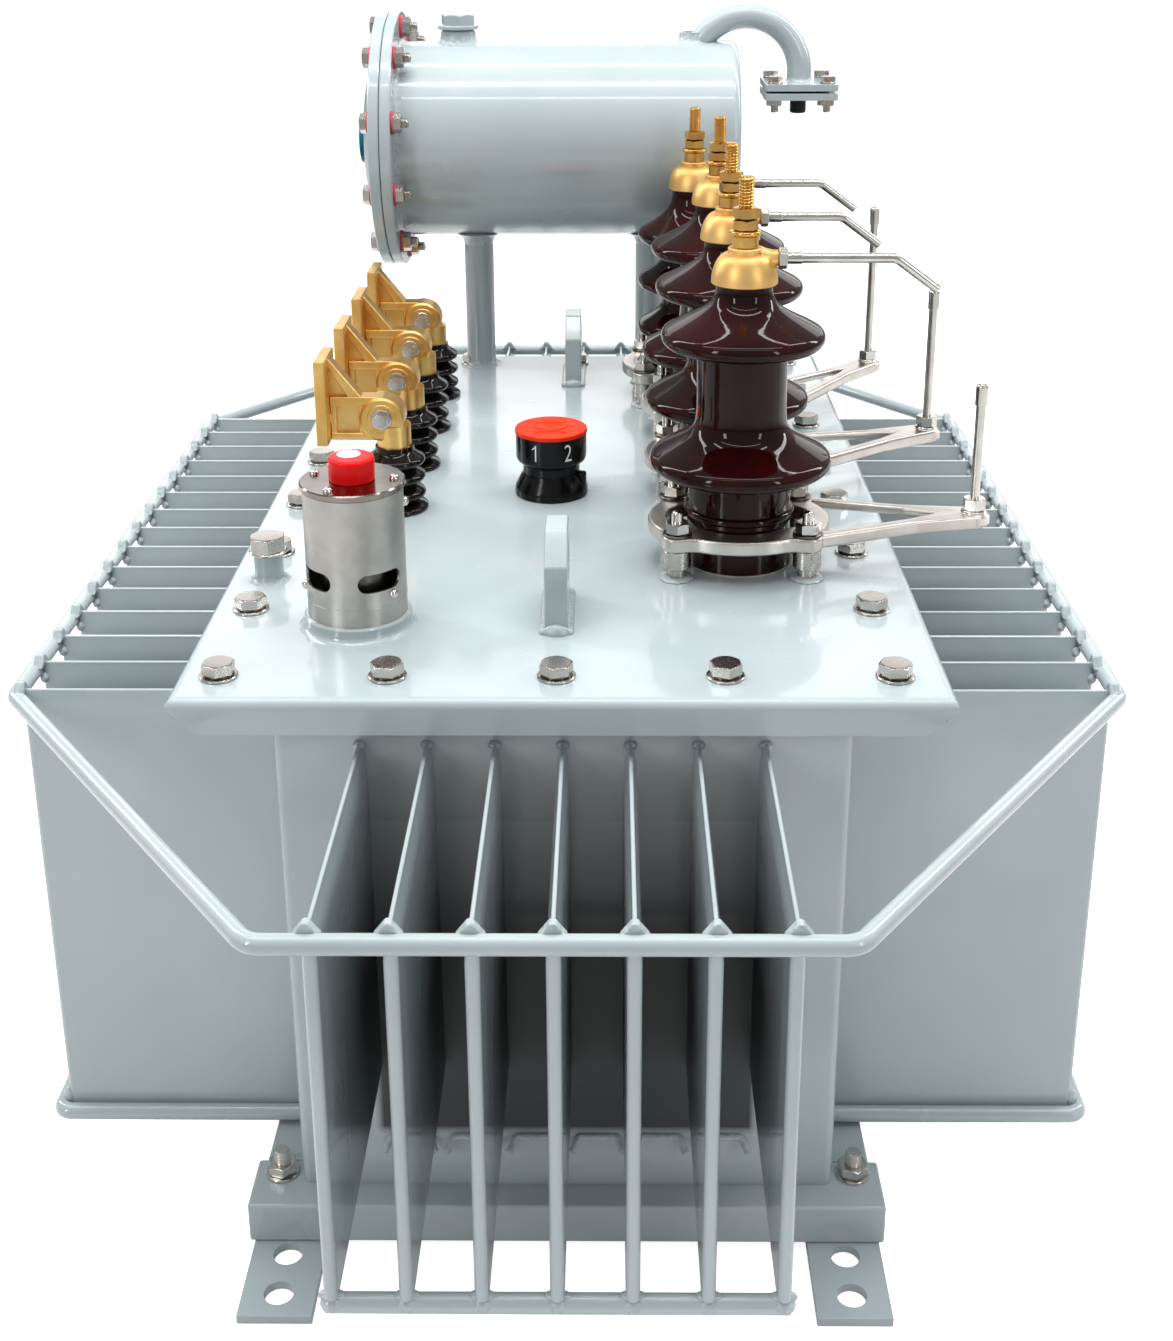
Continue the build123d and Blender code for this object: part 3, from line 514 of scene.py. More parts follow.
def coat(node, finish):
    """Give a carried-over CAD node its finish."""
    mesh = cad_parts[node].data
    mesh.materials.clear()
    mesh.materials.append(finish)


# Base and tank
def side_on(x, y, z):
    """Place a plate drawn in Y and Z, its thickness towards +X."""
    return Matrix.Translation((x, y, z)) @ Matrix(((0, 0, 1, 0), (1, 0, 0, 0), (0, 1, 0, 0), (0, 0, 0, 1)))


def head_on(x, y, z):
    """Place a plate drawn in X and Z, its thickness towards -Y."""
    return Matrix.Translation((x, y, z)) @ Matrix(((1, 0, 0, 0), (0, 0, -1, 0), (0, 1, 0, 0), (0, 0, 0, 1)))


def rectangle(x0, x1, y0, y1):
    return [(x0, y0), (x1, y0), (x1, y1), (x0, y1)]


def foot_plates():
    """A flat plate under each end of both channels, with two holes."""
    low, high = spot("foot_plates")
    half, inner = 25.5, spot("base_channel_back")[0].y
    holes = [((0, 414), 10), ((0, 449), 10)]
    one = plate(rectangle(-half, half, inner, high.y), high.z - low.z, 0.8, 2, holes)
    piece = Piece("foot_plates_dressed", PAINT, "tank_paint")
    for side in (-1, 1):
        for turn in (0, 180):
            piece.add(one, at(side * (high.x - half), 0, 0, turn))
    piece.done("foot_plates")


def base_frame():
    """Cross channels with rounded backs, and the angles between them."""
    wall = 6
    for name in ("base_channel_front", "base_channel_back"):
        low, high = spot(name)
        deep, tall = high.y - low.y, high.z - low.z
        channel = [(0, 0), (0, tall), (deep, tall), (deep, 0), (deep - wall, 0), (deep - wall, tall - wall),
                   (wall, tall - wall), (wall, 0)]
        piece = Piece(name + "_dressed", PAINT, "tank_paint")
        piece.add(eased(plate(channel, high.x - low.x), 2.2, 4), side_on(low.x, low.y, low.z)).done(name)
    low, high = spot("base_side_members")
    wide, tall, wall = 40, high.z - low.z, 5
    angle = [(0, 0), (0, -tall), (-wall, -tall), (-wall, -wall), (-wide, -wall), (-wide, 0)]
    one = eased(plate(angle, high.y - low.y), 1.5, 3)
    piece = Piece("base_side_members_dressed", PAINT, "tank_paint")
    for turn in (180, 0):
        piece.add(one, at(0, 0, 0, turn) @ head_on(high.x, high.y, high.z))
    piece.done("base_side_members")


def bolts(name, finish, slot, places, width, height, washer=0.0, washer_thick=0.0, washer_finish=None):
    """Hexagon heads, each on its washer, at the given places."""
    heads = Piece(name, finish, slot)
    head = hexagon(width, height)
    lift = Matrix.Translation((0, 0, washer_thick))
    for place in places:
        heads.add(head, place @ lift)
    heads.done()
    if washer:
        rings = Piece(name + "_washers", washer_finish or finish, slot)
        ring = disc(washer, washer_thick, 0.5, 32)
        for place in places:
            rings.add(ring, place)
        rings.done()


def earth_bolts():
    """A stud with its nut on each end of the front channel."""
    high = spot("base_channel_front")[1]
    nuts = Piece("earth_bolts", STEEL, "stainless")
    for side in (-1, 1):
        x, y, z = side * (high.x - 19.5), high.y - 13, high.z
        nuts.add(disc(12, 2.4, 0.5, 32), at(x, y, z))
        nuts.add(hexagon(19, 8, True), at(x, y, z + 2.4, 12))
        for part in thread(6, 1.75, 14):
            nuts.add(part, at(x, y, z + 6))
    nuts.done()


def lid():
    """A folded sheet lid whose lips are mitred at the folds and open at the corners."""
    fold, lip, sheet = 7.0, LID_HIGH.z - LID_LOW.z, 4
    bm = bmesh.new()
    reach_x, reach_y = LID_HIGH.x - fold, LID_HIGH.y - fold
    corners = rectangle(-reach_x, reach_x, -reach_y, reach_y)
    top = bm.faces.new([bm.verts.new((x, y, 0)) for x, y in corners])
    steps = [(reach, fold - up) for up, reach in [polar(fold, a) for a in range(15, 91, 15)]] + [(fold, lip)]
    for front in list(top.edges):
        out = (front.verts[0].co + front.verts[1].co).normalized()
        along = Vector((abs(out.y), abs(out.x), 0))
        for reach, drop in steps:
            spare = reach if drop < 0.7 * fold else fold * 0.93 - (drop - 0.7 * fold)
            limit = (reach_x if abs(out.y) > 0.5 else reach_y) + spare
            front = only(BMEdge, bmesh.ops.extrude_edge_only(bm, edges=[front])["geom"])[0]
            for vert in front.verts:
                sign = 1 if vert.co.dot(along) > 0 else -1
                lip_line = Vector((out.x * (reach_x + reach), out.y * (reach_y + reach), -drop))
                vert.co = along * sign * limit + lip_line
    tidy(bm)
    bmesh.ops.solidify(bm, geom=bm.faces[:], thickness=sheet)
    bmesh.ops.recalc_face_normals(bm, faces=bm.faces)
    eased(bm, 0.6, 2, 50)
    Piece("lid_dressed", PAINT, "tank_paint").add(bm, at(0, 0, DECK)).done("lid")


def lid_bolts():
    """M12 bolts all round the lid, each on a flat washer and a spring washer."""
    rows, columns, inset, column_pitch, shift = 8, 5, 35, 109, -4
    row_pitch = (LID_HIGH.y - LID_LOW.y - 2 * inset) / (rows - 1)
    places = []
    for row, y in enumerate(row_of(rows, row_pitch)):
        for column, x in enumerate(row_of(columns, column_pitch)):
            if row in (0, rows - 1) or column in (0, columns - 1):
                places.append(at(x + shift, y, DECK, (row * 37 + column * 23) % 60))
    flat, spring = 2, 1.6
    rings = Piece("lid_bolt_washers", BOLT_STEEL, "stainless")
    rings.add(disc(12.5, flat, 0.5, 36), *places).done()
    springs = Piece("lid_bolt_springs", DARK_STEEL, "stainless")
    springs.add(disc(10, spring, 0.4, 28), *[place @ at(0, 0, flat) for place in places]).done()
    heads = Piece("lid_bolt_heads", BOLT_STEEL, "stainless")
    heads.add(hexagon(19.5, 7), *[place @ at(0, 0, flat + spring) for place in places]).done()


# Corrugations
def fin(depth, low, high):
    """A folded fin with a round tip, pressed together along its top edge."""
    bm = bmesh.new()
    tip = arc((depth - FIN_HALF, 0), FIN_HALF, -90, 90)
    row = closed_row(bm, [(x, y, low) for x, y in ((0, -FIN_HALF), *tip, (0, FIN_HALF))])
    pressed = [(23, 1), (15, 0.87), (8, 0.6), (2.5, 0.32), (0, 0.28)]
    width = 1
    for level, share in [(low + 6, 1)] + [(high - below, share) for below, share in pressed]:
        verts, row = extruded(bm, row)
        for vert in verts:
            vert.co.y *= share / width
            vert.co.z = level
        width = share
    bmesh.ops.holes_fill(bm, edges=[e for e in bm.edges if e.is_boundary], sides=0)
    return eased(tidy(bm), 0.5, 1, 70)


def fins():
    """Corrugations on the four walls, with a weld at the top and the foot of each."""
    seams = Piece("fin_seams", WELD, "tank_paint")
    dot = ball(4.5, (0.8, 1, 0.7))
    for name, axis, count, turn in (("front_fins", 1, END_FINS, -90), ("back_fins", 1, END_FINS, 90),
                                    ("left_fins", 0, SIDE_FINS, 180), ("right_fins", 0, SIDE_FINS, 0)):
        low, high = spot(name)
        wall = min(abs(low[axis]), abs(high[axis]))
        one = fin(high[axis] - low[axis], low.z, high.z)
        piece = Piece(name + "_dressed", FIN_ENAMEL_SHADED, "tank_paint")
        for along in row_of(count):
            place = at(0, 0, 0, turn) @ at(wall, along, 0)
            piece.add(one, place)
            seams.add(dot, place @ at(1, 0, high.z - 2), place @ at(1, 0, low.z + 2))
        piece.done(name)
    seams.done()


def weld_ledge():
    """The seam where the wall under the end fins meets the tank's lower edge, one bent bead a bay."""
    bead = [(-18, 9, -7), (-13, 1, 0), (13, 1, 0), (18, 9, -7)]
    seam = Piece("weld_ledge", WELD, "tank_paint")
    for end in (-1, 1):
        for x in row_of(END_FINS - 1):
            route = [(x + along, end * (END_LOW.y + out), LEDGE + up) for along, out, up in bead]
            seam.add(bar(route, 2.6, 3, 12, 1))
    seam.done()


def gusset(width, height, thick):
    """A three-cornered weld lump, standing on its long side."""
    return eased(plate([(-width / 2, 0), (width / 2, 0), (1.5, height), (-1.5, height)], thick), 1.8, 3)


def top_ring():
    """One bar bent round all the fin tips, with a weld at every fin."""
    z = middle("top_bar_front").z
    end_y, side_x = abs(middle("top_bar_front").y), abs(middle("top_bar_right").x)
    half_x, half_y = spot("top_bar_front")[1].x, spot("top_bar_right")[1].y
    right = [(half_x, -end_y), (side_x, -half_y), (side_x, half_y), (half_x, end_y)]
    route = [(x, y, z) for x, y in right] + [(-x, y, z) for x, y in reversed(right)]
    ring = Piece("top_bar", PAINT, "tank_paint")
    ring.add(bar(route, BAR_RADIUS, 16, 20, closed=True))
    ring.done("top_bar_front", "top_bar_back", "top_bar_left", "top_bar_right", "top_bar_diagonals")
    welds = Piece("top_bar_welds", WELD, "tank_paint")
    lump = gusset(17, 9, 7)
    under = ball(5, (1.3, 0.8, 0.9))
    for turn, count, tip in ((0, END_FINS, end_y), (180, END_FINS, end_y), (90, SIDE_FINS, side_x),
                             (270, SIDE_FINS, side_x)):
        for along in row_of(count):
            place = at(0, 0, 0, turn) @ at(along, BAR_RADIUS - tip, z)
            welds.add(lump, place @ head_on(0, 2, 3))
            welds.add(under, place @ at(0, 1, -6))
    welds.done()


def low_bars():
    """Bars under the end fins and round the feet of the side fins."""
    low, high = spot("bottom_bar_front")
    bars = Piece("end_low_bars", PAINT, "tank_paint")
    welds = Piece("low_bar_welds", WELD, "tank_paint")
    z = (low.z + high.z) / 2
    for end in (-1, 1):
        y = end * abs(middle("bottom_bar_front").y)
        bars.add(bar([(low.x, y, z), (high.x, y, z)], BAR_RADIUS, 0, 20, 1.2))
        for x in row_of(END_FINS):
            welds.add(ball(7.4, (1, 1, 0.9)), at(x, y, z + 1))
            welds.add(ball(5, (1.7, 0.8, 0.6)), at(x, y, z + 5.5))
    bars.done("bottom_bar_front", "bottom_bar_back")
    low, high = spot("bottom_bar_right")
    wall, out = spot("tank_body")[1].x, high.x - BAR_RADIUS
    y, z = high.y - BAR_RADIUS, (low.z + high.z) / 2
    foot = turned([(6, 0), (10, 0), *arc((10, 4), 4, -90, 90, 4)[1:], (6, 7)], 24)
    for side, name in ((-1, "bottom_bar_left"), (1, "bottom_bar_right")):
        route = [(side * x, along, z) for x, along in ((wall - 2, -y), (out, -y), (out, y), (wall - 2, y))]
        piece = Piece(name + "_dressed", PAINT, "tank_paint")
        piece.add(bar(route, BAR_RADIUS, 8, 20)).done(name)
        for along in row_of(SIDE_FINS):
            welds.add(ball(6, (0.8, 0.85, 1.3)), at(side * (out - 5), along, z + 7))
        for end in (-1, 1):
            welds.add(foot, lying(side * wall, end * y, z, (side, 0, 0)))
    welds.done()


# Conservator
DRUM = middle("conservator_shell")
DRUM_LOW, DRUM_HIGH = spot("conservator_shell")
DRUM_RADIUS = (DRUM_HIGH.z - DRUM_LOW.z) / 2


def on_drum_axis(x, side=-1):
    """Place a round shape on the drum's axis, its Z pointing out of the bolted end or into the drum."""
    return lying(x, DRUM.y, DRUM.z, (side, 0, 0))


def collar(radius, spread, height, steps=40):
    """A hollow-sided weld collar round a pipe, z 0 up."""
    foot, top = (radius + spread, 0), (radius, height)
    curve = sweep_line(foot, (radius + spread * 0.3, 0.6), (radius, height * 0.4), top, 7)
    return turned([(radius - 2, 0), *curve, (radius - 2, height)], steps)


def saddle(radius, spread, height):
    """A weld collar that follows the drum where a pipe stands on it."""
    bm = collar(radius, spread, height)
    for vert in bm.verts:
        fall = DRUM_RADIUS - sqrt(DRUM_RADIUS ** 2 - vert.co.y ** 2)
        vert.co.z -= fall * (1 - min(1, vert.co.z / height))
    return bm


def drum_shell(welds):
    long, edge = DRUM_HIGH.x - DRUM_LOW.x, 8
    rounded = arc((DRUM_RADIUS - edge, long - edge), edge, 0, 90, 8)
    drum = Piece("conservator_drum", PAINT, "tank_paint")
    drum.add(turned([(0, 0), (DRUM_RADIUS, 0), *rounded, (0, long)], 96), on_drum_axis(DRUM_LOW.x, 1))
    drum.done("conservator_shell")
    welds.add(collar(DRUM_RADIUS, 6, 7, 96), on_drum_axis(DRUM_LOW.x, 1))


def drum_end():
    """The drum's flange, its gasket and the dished cover with bolts right through all three."""
    low, high = spot("conservator_flange")
    radius = (high.z - low.z) / 2
    flange = Piece("conservator_flange_dressed", PAINT, "tank_paint")
    flange.add(disc(radius, 10.4, 1.2, 96), on_drum_axis(high.x)).done("conservator_flange")
    gasket = Piece("conservator_gasket", RUBBER, "gauge_plastic")
    gasket.add(disc(radius - 1.2, 1.6, 0.2, 96), on_drum_axis(low.x + 1.2)).done()
    cover = Piece("conservator_cover_dressed", PAINT, "tank_paint")
    thick = 10.5
    rim = [(0, 0), (radius - 1, 0), (radius, 1), (radius, thick - 1), (radius - 1, thick), (98, thick)]
    dish = sweep_line((96, thick), (70, 25), (40, 27), (0, 27), 10)
    cover.add(turned([*rim, *dish], 96), on_drum_axis(low.x)).done("conservator_cover")
    circle, count, first = 112, 10, 20
    places = [polar(circle, first + 360 / count * i) for i in range(count)]
    outer = [lying(low.x - thick, DRUM.y - across, DRUM.z - up, (-1, 0, 0)) for across, up in places]
    inner = [lying(high.x, DRUM.y - across, DRUM.z - up, (1, 0, 0)) for across, up in places]
    bolts("conservator_bolts", BOLT_STEEL, "stainless", outer, 17, 6.5, 11, 2, RED_WASHER)
    bolts("conservator_nuts", BOLT_STEEL, "stainless", inner, 17, 8, 11, 2, RED_WASHER)
    ends = Piece("conservator_bolt_ends", BOLT_STEEL, "stainless")
    for part in thread(5, 1.5, 16):
        ends.add(part, *inner)
    ends.done()


def oil_gauge():
    centre, face = middle("oil_gauge"), spot("oil_gauge")[1].x
    edge = arc((22.5, 5.5), 1.5, 0, 90, 3)
    gauge = Piece("oil_gauge_dressed", TEAL, "gauge_plastic")
    body = turned([(0, 0), (24, 0), (24, 5), *edge, (19, 7), (17.5, 5.6), (0, 5.6)], 64)
    gauge.add(body, lying(face, centre.y, centre.z, (-1, 0, 0))).done("oil_gauge")


def drum_legs(welds):
    """Two pipes from the lid up to the drum."""
    low, high = spot("conservator_legs")
    radius, y = 15, (low.y + high.y) / 2
    seat = DRUM.z - sqrt(DRUM_RADIUS ** 2 - (y - DRUM.y) ** 2)
    joint = turned([(13, -9), *sweep_line((15, -9), (15, -4), (17, -1), (24, 3), 6), (13, 6)], 40)
    legs = Piece("conservator_legs_dressed", PAINT, "tank_paint")
    for x in (low.x + radius, high.x - radius):
        legs.add(bar([(x, y, DECK), (x, y, high.z)], radius, 0, 40))
        welds.add(collar(radius, 7, 8), at(x, y, DECK)).add(joint, at(x, y, seat))
    legs.done("conservator_legs")


def filler(welds):
    """A short neck on the drum, closed by a cap with a hexagon on it and a seal between."""
    x, y, top = middle("filler_cap").x, DRUM.y, DRUM_HIGH.z
    neck = Piece("filler_neck", PAINT, "tank_paint")
    neck.add(turned([(0, -6), (17, -6), (17, 10), (16, 11.2), (0, 11.2)], 40), at(x, y, top))
    welds.add(saddle(17, 6, 9), at(x, y, top))
    neck.done()
    ring = Piece("filler_seal", RUBBER, "gauge_plastic")
    ring.add(disc(15.5, 1.8, 0.6, 40), at(x, y, top + 10.8)).done()
    cap = Piece("filler_cap_dressed", PAINT, "tank_paint")
    cap.add(disc(20, 4, 0.8, 48), at(x, y, top + 12.4))
    cap.add(eased(hexagon(30, 11.4), 0.7, 2, 50), at(x, y, top + 16.2, 14))
    cap.done("filler_cap")


def conservator():
    """The drum and all that is welded or bolted to it, with one piece for the welds."""
    welds = Piece("conservator_welds", WELD, "tank_paint")
    drum_shell(welds)
    drum_end()
    oil_gauge()
    drum_legs(welds)
    filler(welds)
    welds.done()


def breather():
    """A bent pipe from the drum's top down to a pair of square flanges beside it."""
    low, high = spot("breather_pipe")
    radius, y = 12, DRUM.y
    start, end = low.x + 2, high.x - radius
    bend, apex = (end - start) / 2, high.z - radius
    low, high = spot("breather_flanges")
    route = [(start, y, apex - bend - 12), (start, y, apex), (end, y, apex), (end, y, high.z - 2)]
    pipe = Piece("breather_gooseneck", PAINT, "tank_paint")
    pipe.add(bar(route, radius, bend - 0.05, 28)).done("breather_pipe")
    weld = Piece("breather_welds", WELD, "tank_paint")
    weld.add(saddle(radius, 6, 9), at(start, y, DRUM_HIGH.z))
    weld.add(collar(radius, 3, 4), at(end, y, high.z)).done()
    thick, upper, lower = 7, high.z - 7, high.z - 16
    square = [(34, -36), (36, -34), (36, 34), (34, 36), (-34, 36), (-36, 34), (-36, -34), (-34, -36)]
    flanges = Piece("breather_flanges_dressed", PAINT, "tank_paint")
    flanges.add(plate(square, thick, 0.8), at(end, y, upper), at(end, y, lower)).done("breather_flanges")
    gasket = Piece("breather_gasket", RUBBER, "gauge_plastic")
    gasket.add(disc(31, 2.2, 0.4, 48), at(end, y, upper - 2.1))
    gasket.add(disc(8, 16, 1.2, 32), at(end, y, low.z)).done()
    corners = [(end + side * 26, y + way * 26) for side in (-1, 1) for way in (-1, 1)]
    over = [at(*corner, high.z, 20) for corner in corners]
    under = [lying(*corner, lower, (0, 0, -1)) for corner in corners]
    bolts("breather_bolts", BOLT_STEEL, "stainless", over, 13, 5.5, 8, 1.6)
    bolts("breather_nuts", BOLT_STEEL, "stainless", under, 13, 6)
    ends = Piece("breather_bolt_ends", BOLT_STEEL, "stainless")
    for part in thread(4, 1.25, 12):
        ends.add(part, *under)
    ends.done()


# High-voltage side
HV_PLACES = [tuple(middle(f"hv_bushing_{i}")[:2]) for i in range(1, 5)]
HV_TOPS = [spot(f"hv_bushing_{i}")[1].z for i in range(1, 5)]
CLAMP_BOLTS = [(sx * 47.5, sy * 40) for sx in (-1, 1) for sy in (-1, 1)]
ARM_TIPS = [Vector((*polar(reach, turn), 0)) for reach, turn in ((178, 3), (188, 19), (200, 38))]
HORN_REACHES = (108, 89, 90)
HORN_TOPS = (134, 156, 186)
HORN_RISE = 18


def shed(below, above, radius, z, top, rim=7.0):
    """Profile points of one shed: sloped underside, round rim and bell-shaped top."""
    under = [(below, z - rim + 4), (below + 2.5, z - rim + 3.2)]
    edge = arc((radius - rim, z), rim, -90, 60, 10)
    last = edge[-1]
    pull = (last[0] - above) / 2
    first_pull = (last[0] - pull, last[1] + pull / sqrt(3))
    bell = sweep_line(last, first_pull, (above, (last[1] + top) / 2), (above, top), 14)
    return under + edge + bell[1:]


def hv_bushings():
    """Glazed bushings: a base under the clamp ring, a lip above it, then sheds on a core."""
    foot = [(0, 0), (39.7, 0), (40.5, 0.8), (40.5, 22.2), (39.7, 23), (38.6, 23.6), (38.4, 36),
            *arc((37.6, 41), 3.4, -75, 75, 8), (38.2, 46)]
    phase = [*foot, *shed(38.6, 33.5, 67, 79.5, 112), (33, 118), (33, 162),
             *shed(33.4, 20.5, 59.5, 173, 208), (20.5, 212), (0, 212)]
    neutral = [*foot, (31.5, 58), *shed(30.5, 30.5, 53, 70, 96), *shed(30.5, 30.5, 53, 115, 141),
               *shed(30.5, 20.5, 53, 160, 200), (20.5, 204), (0, 204)]
    shapes = [turned(phase, 80)] * 3 + [turned(neutral, 72)]
    seals = Piece("hv_seals", PALE_GASKET, "gauge_plastic")
    for i, (x, y) in enumerate(HV_PLACES):
        piece = Piece(f"hv_bushing_{i + 1}_dressed", BROWN, "hv_glaze")
        piece.add(shapes[i], at(x, y, DECK)).done(f"hv_bushing_{i + 1}")
        seals.add(disc(41.6, 1.4, 0.5, 72, 30), at(x, y, DECK))
    seals.done()


def hv_caps():
    """Gilt domes, the first three with the boss and the nut that hold an upper horn."""
    caps = Piece("hv_caps_dressed", GILT, "cap_brass")
    side = arc((12.3, 0), 11.7, 6, 90, 12, 22 / 11.7)
    dome = turned([(0, 0), (23.3, 0), (24, 0.7), *side, (12.3, 25.4), (11.7, 26), (0, 26)], 72)
    boss = turned([(0, 0), (9, 0), (7, 5), (6.2, 9), (6, 12.6), (5.4, 13.2), (0, 13.2)], 32)
    nuts = Piece("horn_lock_nuts", STEEL, "stainless")
    for i, (x, y) in enumerate(HV_PLACES):
        caps.add(dome, at(x, y, HV_TOPS[i]))
        if i < len(HORN_REACHES):
            z = HV_TOPS[i] + HORN_RISE
            caps.add(boss, lying(x + 10.5, y, z, (1, 0, 0)))
            nuts.add(hexagon(14, 6.5, True), lying(x + 23.7, y, z, (1, 0, 0)))
    caps.done("hv_caps")
    nuts.done()


def hv_studs():
    """A brass stud on each cap, with its ring and two nuts."""
    studs = Piece("hv_studs_dressed", STUD_BRASS, "stud_brass")
    parts = thread(5.7, 2.3, 51)
    lip = arc((10, 2), 1.6, -60, 60, 5)
    ring = turned([(0, 0), (8.8, 0), (10.6, 0.6), *lip, (9, 3.8), (0, 3.8)], 48)
    for i, (x, y) in enumerate(HV_PLACES):
        z = HV_TOPS[i] + 26
        studs.add(disc(9.4, 9, 0.8, 40), at(x, y, z))
        studs.add(ring, at(x, y, z + 8.8))
        studs.add(hexagon(17, 7.8, True), at(x, y, z + 12.6, 17 * i))
        studs.add(hexagon(17, 8, True), at(x, y, z + 20.8, 17 * i + 24))
        for part in parts:
            studs.add(part, at(x, y, z))
    studs.done("hv_studs")


def clamp_ring():
    """A cast oval ring with a lobe at each bolt that runs smoothly into it."""
    count = 160
    lobe = 12
    away = hypot(*CLAMP_BOLTS[-1])
    lobe_turn = atan2(CLAMP_BOLTS[-1][1], CLAMP_BOLTS[-1][0])

    def oval(along, across, half_long, half_wide):
        """How far an oval reaches in a direction."""
        return half_long * half_wide / hypot(half_wide * along, half_long * across)

    inner, outer = [], []
    for i in range(count):
        along, across = cos(tau * i / count), sin(tau * i / count)
        inner.append(max(39.3, oval(along, across, 54, 33)))
        reach = oval(along, across, 68, 57)
        off = atan2(abs(across), abs(along)) - lobe_turn
        if abs(away * sin(off)) < lobe:
            reach = max(reach, away * cos(off) + sqrt(lobe ** 2 - (away * sin(off)) ** 2))
        outer.append(reach)
    for _ in range(4):
        outer = [(outer[i - 1] + 2 * outer[i] + outer[(i + 1) % count]) / 4 for i in range(count)]
    bm = bmesh.new()
    edges = []
    for reaches in (inner, outer):
        edges += closed_row(bm, [(*polar(reach, 360 * i / count), 0) for i, reach in enumerate(reaches)])
    bmesh.ops.bridge_loops(bm, edges=edges)
    return eased(thickened(bm, 11), 2.2, 3, 45)


def horn_arm(clamps, here, tip):
    """Two beams from a clamp's outer lobes, joined round the foot of a lower horn."""
    backs = []
    for lobe, half, low, top in ((CLAMP_BOLTS[2], 5, 0, 10.8), (CLAMP_BOLTS[3], 4.2, 3.6, 10.6)):
        run = tip - Vector((*lobe, 0))
        turn = degrees(atan2(run.y, run.x))
        beam = eased(block((0, -half, low), (run.length - 6, half, top)), 3, 4)
        flare = [(-62, -half + 1.6), (1, -11.8), (1, 11.8), (-62, half - 1.6)]
        clamps.add(beam, here @ at(*lobe, 0, turn))
        clamps.add(plate(flare, top - 0.1 - low, 2.2, 4), here @ at(tip.x, tip.y, low, turn))
        backs.append(tip - run.normalized() * 32)
    join = plate([tuple(point[:2]) for point in (backs[0], tip, backs[1])], 6.7)
    clamps.add(join, here @ at(0, 0, 3.6))
    clamps.add(disc(12, 11.1, 2.6, 48), here @ at(tip.x, tip.y, 0))


def hv_clamps():
    """Clamp rings on posts with nuts, and the arms that carry the lower horns."""
    clamps = Piece("hv_clamps_dressed", ALLOY, "clamp_alloy")
    posts = Piece("hv_clamp_posts", BOLT_STEEL, "clamp_alloy")
    nuts = Piece("hv_clamp_nuts", STEEL, "stainless")
    washers = Piece("hv_clamp_washers", DARK_STEEL, "stainless")
    welds = Piece("hv_post_welds", WELD, "tank_paint")
    tall, thick, washer = 23, 11, 1.8
    ring = clamp_ring()
    sleeve = [(9.6, 9), (10.2, 9.6), (10.2, 22.4), (9.6, tall)]
    post = turned([(0, 0), (6.8, 0), (6.8, 8.6), *sleeve, (0, tall)], 36)
    end = turned([(0, 0), (4.3, 0), (4.3, 16.4), (3.4, 17.8), (1.6, 18.6), (0, 18.8)], 24)
    puddle = ball(13, (1, 1, 0.2))
    for i, (x, y) in enumerate(HV_PLACES):
        here = at(x, y, DECK + tall)
        clamps.add(ring, here)
        for k, bolt in enumerate(CLAMP_BOLTS):
            posts.add(post, here @ at(*bolt, -tall))
            welds.add(puddle, here @ at(*bolt, 0.6 - tall))
            washers.add(disc(10.8, washer, 0.5, 32), here @ at(*bolt, thick))
            nuts.add(hexagon(16, 8.4, True), here @ at(*bolt, thick + washer, 20 * i + 13 * k))
            nuts.add(end, here @ at(*bolt, thick))
        if i < len(ARM_TIPS):
            horn_arm(clamps, here, ARM_TIPS[i])
    clamps.done("hv_clamps")
    for piece in (posts, nuts, washers, welds):
        piece.done()


def horns():
    """Upper horns bent down at their ends, and upright lower horns with a sleeve at the top."""
    upper = Piece("upper_horns_dressed", STEEL, "stainless")
    for i, reach in enumerate(HORN_REACHES):
        x, y = HV_PLACES[i]
        z = HV_TOPS[i] + HORN_RISE
        elbow = x + reach
        upper.add(bar([(x + 24, y, z), (elbow, y, z), (elbow + 31, y, z - 23)], 3.7, 12, 24, 1.2))
        upper.add(bar([(x + 30, y, z), (x + 41, y, z)], 4.3, 0, 24, 0.5))
    upper.done("upper_horns")
    lower = Piece("lower_horns_dressed", STEEL, "stainless")
    crown = arc((1.8, 14.2), 2.8, 0, 80, 5)
    sleeve = turned([(0, 0), (4.3, 0), (4.6, 0.4), (4.6, 14), *crown, (0, 17)], 28)
    for i, rise in enumerate(HORN_TOPS):
        x, y = HV_PLACES[i][0] + ARM_TIPS[i].x, HV_PLACES[i][1] + ARM_TIPS[i].y
        foot, top = DECK + 34, DECK + rise
        lower.add(bar([(x, y, foot - 12), (x, y, top)], 3.6, 0, 24, 1))
        lower.add(disc(9.4, 1.6, 0.5, 32), at(x, y, foot))
        lower.add(hexagon(15.4, 9, True), at(x, y, foot + 1.6, 21 * i))
        lower.add(sleeve, at(x, y, top - 17))
    lower.done("lower_horns")


# Low-voltage side
LV_X = middle("lv_bushings").x
LV_YS = [middle("lv_bushings").y + along for along in row_of(4, 105)]


def lv_bushings():
    """Short black bushings with thick round sheds."""
    profile = [(0, 0), (24.6, 0), *arc((24, 2.2), 2, -60, 60, 4), (22, 5.5), (17, 7.4)]
    for z in (14, 28, 42):
        rim = arc((20.8, z), 3.4, -90, 62, 7)
        profile += [(15.5, z - 4.6), (19, z - 4), *rim, (17.6, z + 6), (15.8, z + 8)]
    profile += [(15.4, 54), (0, 54)]
    piece = Piece("lv_bushings_dressed", BLACK_GLAZE, "lv_glaze")
    piece.add(turned(profile, 56), *[at(LV_X, y, DECK) for y in LV_YS]).done("lv_bushings")


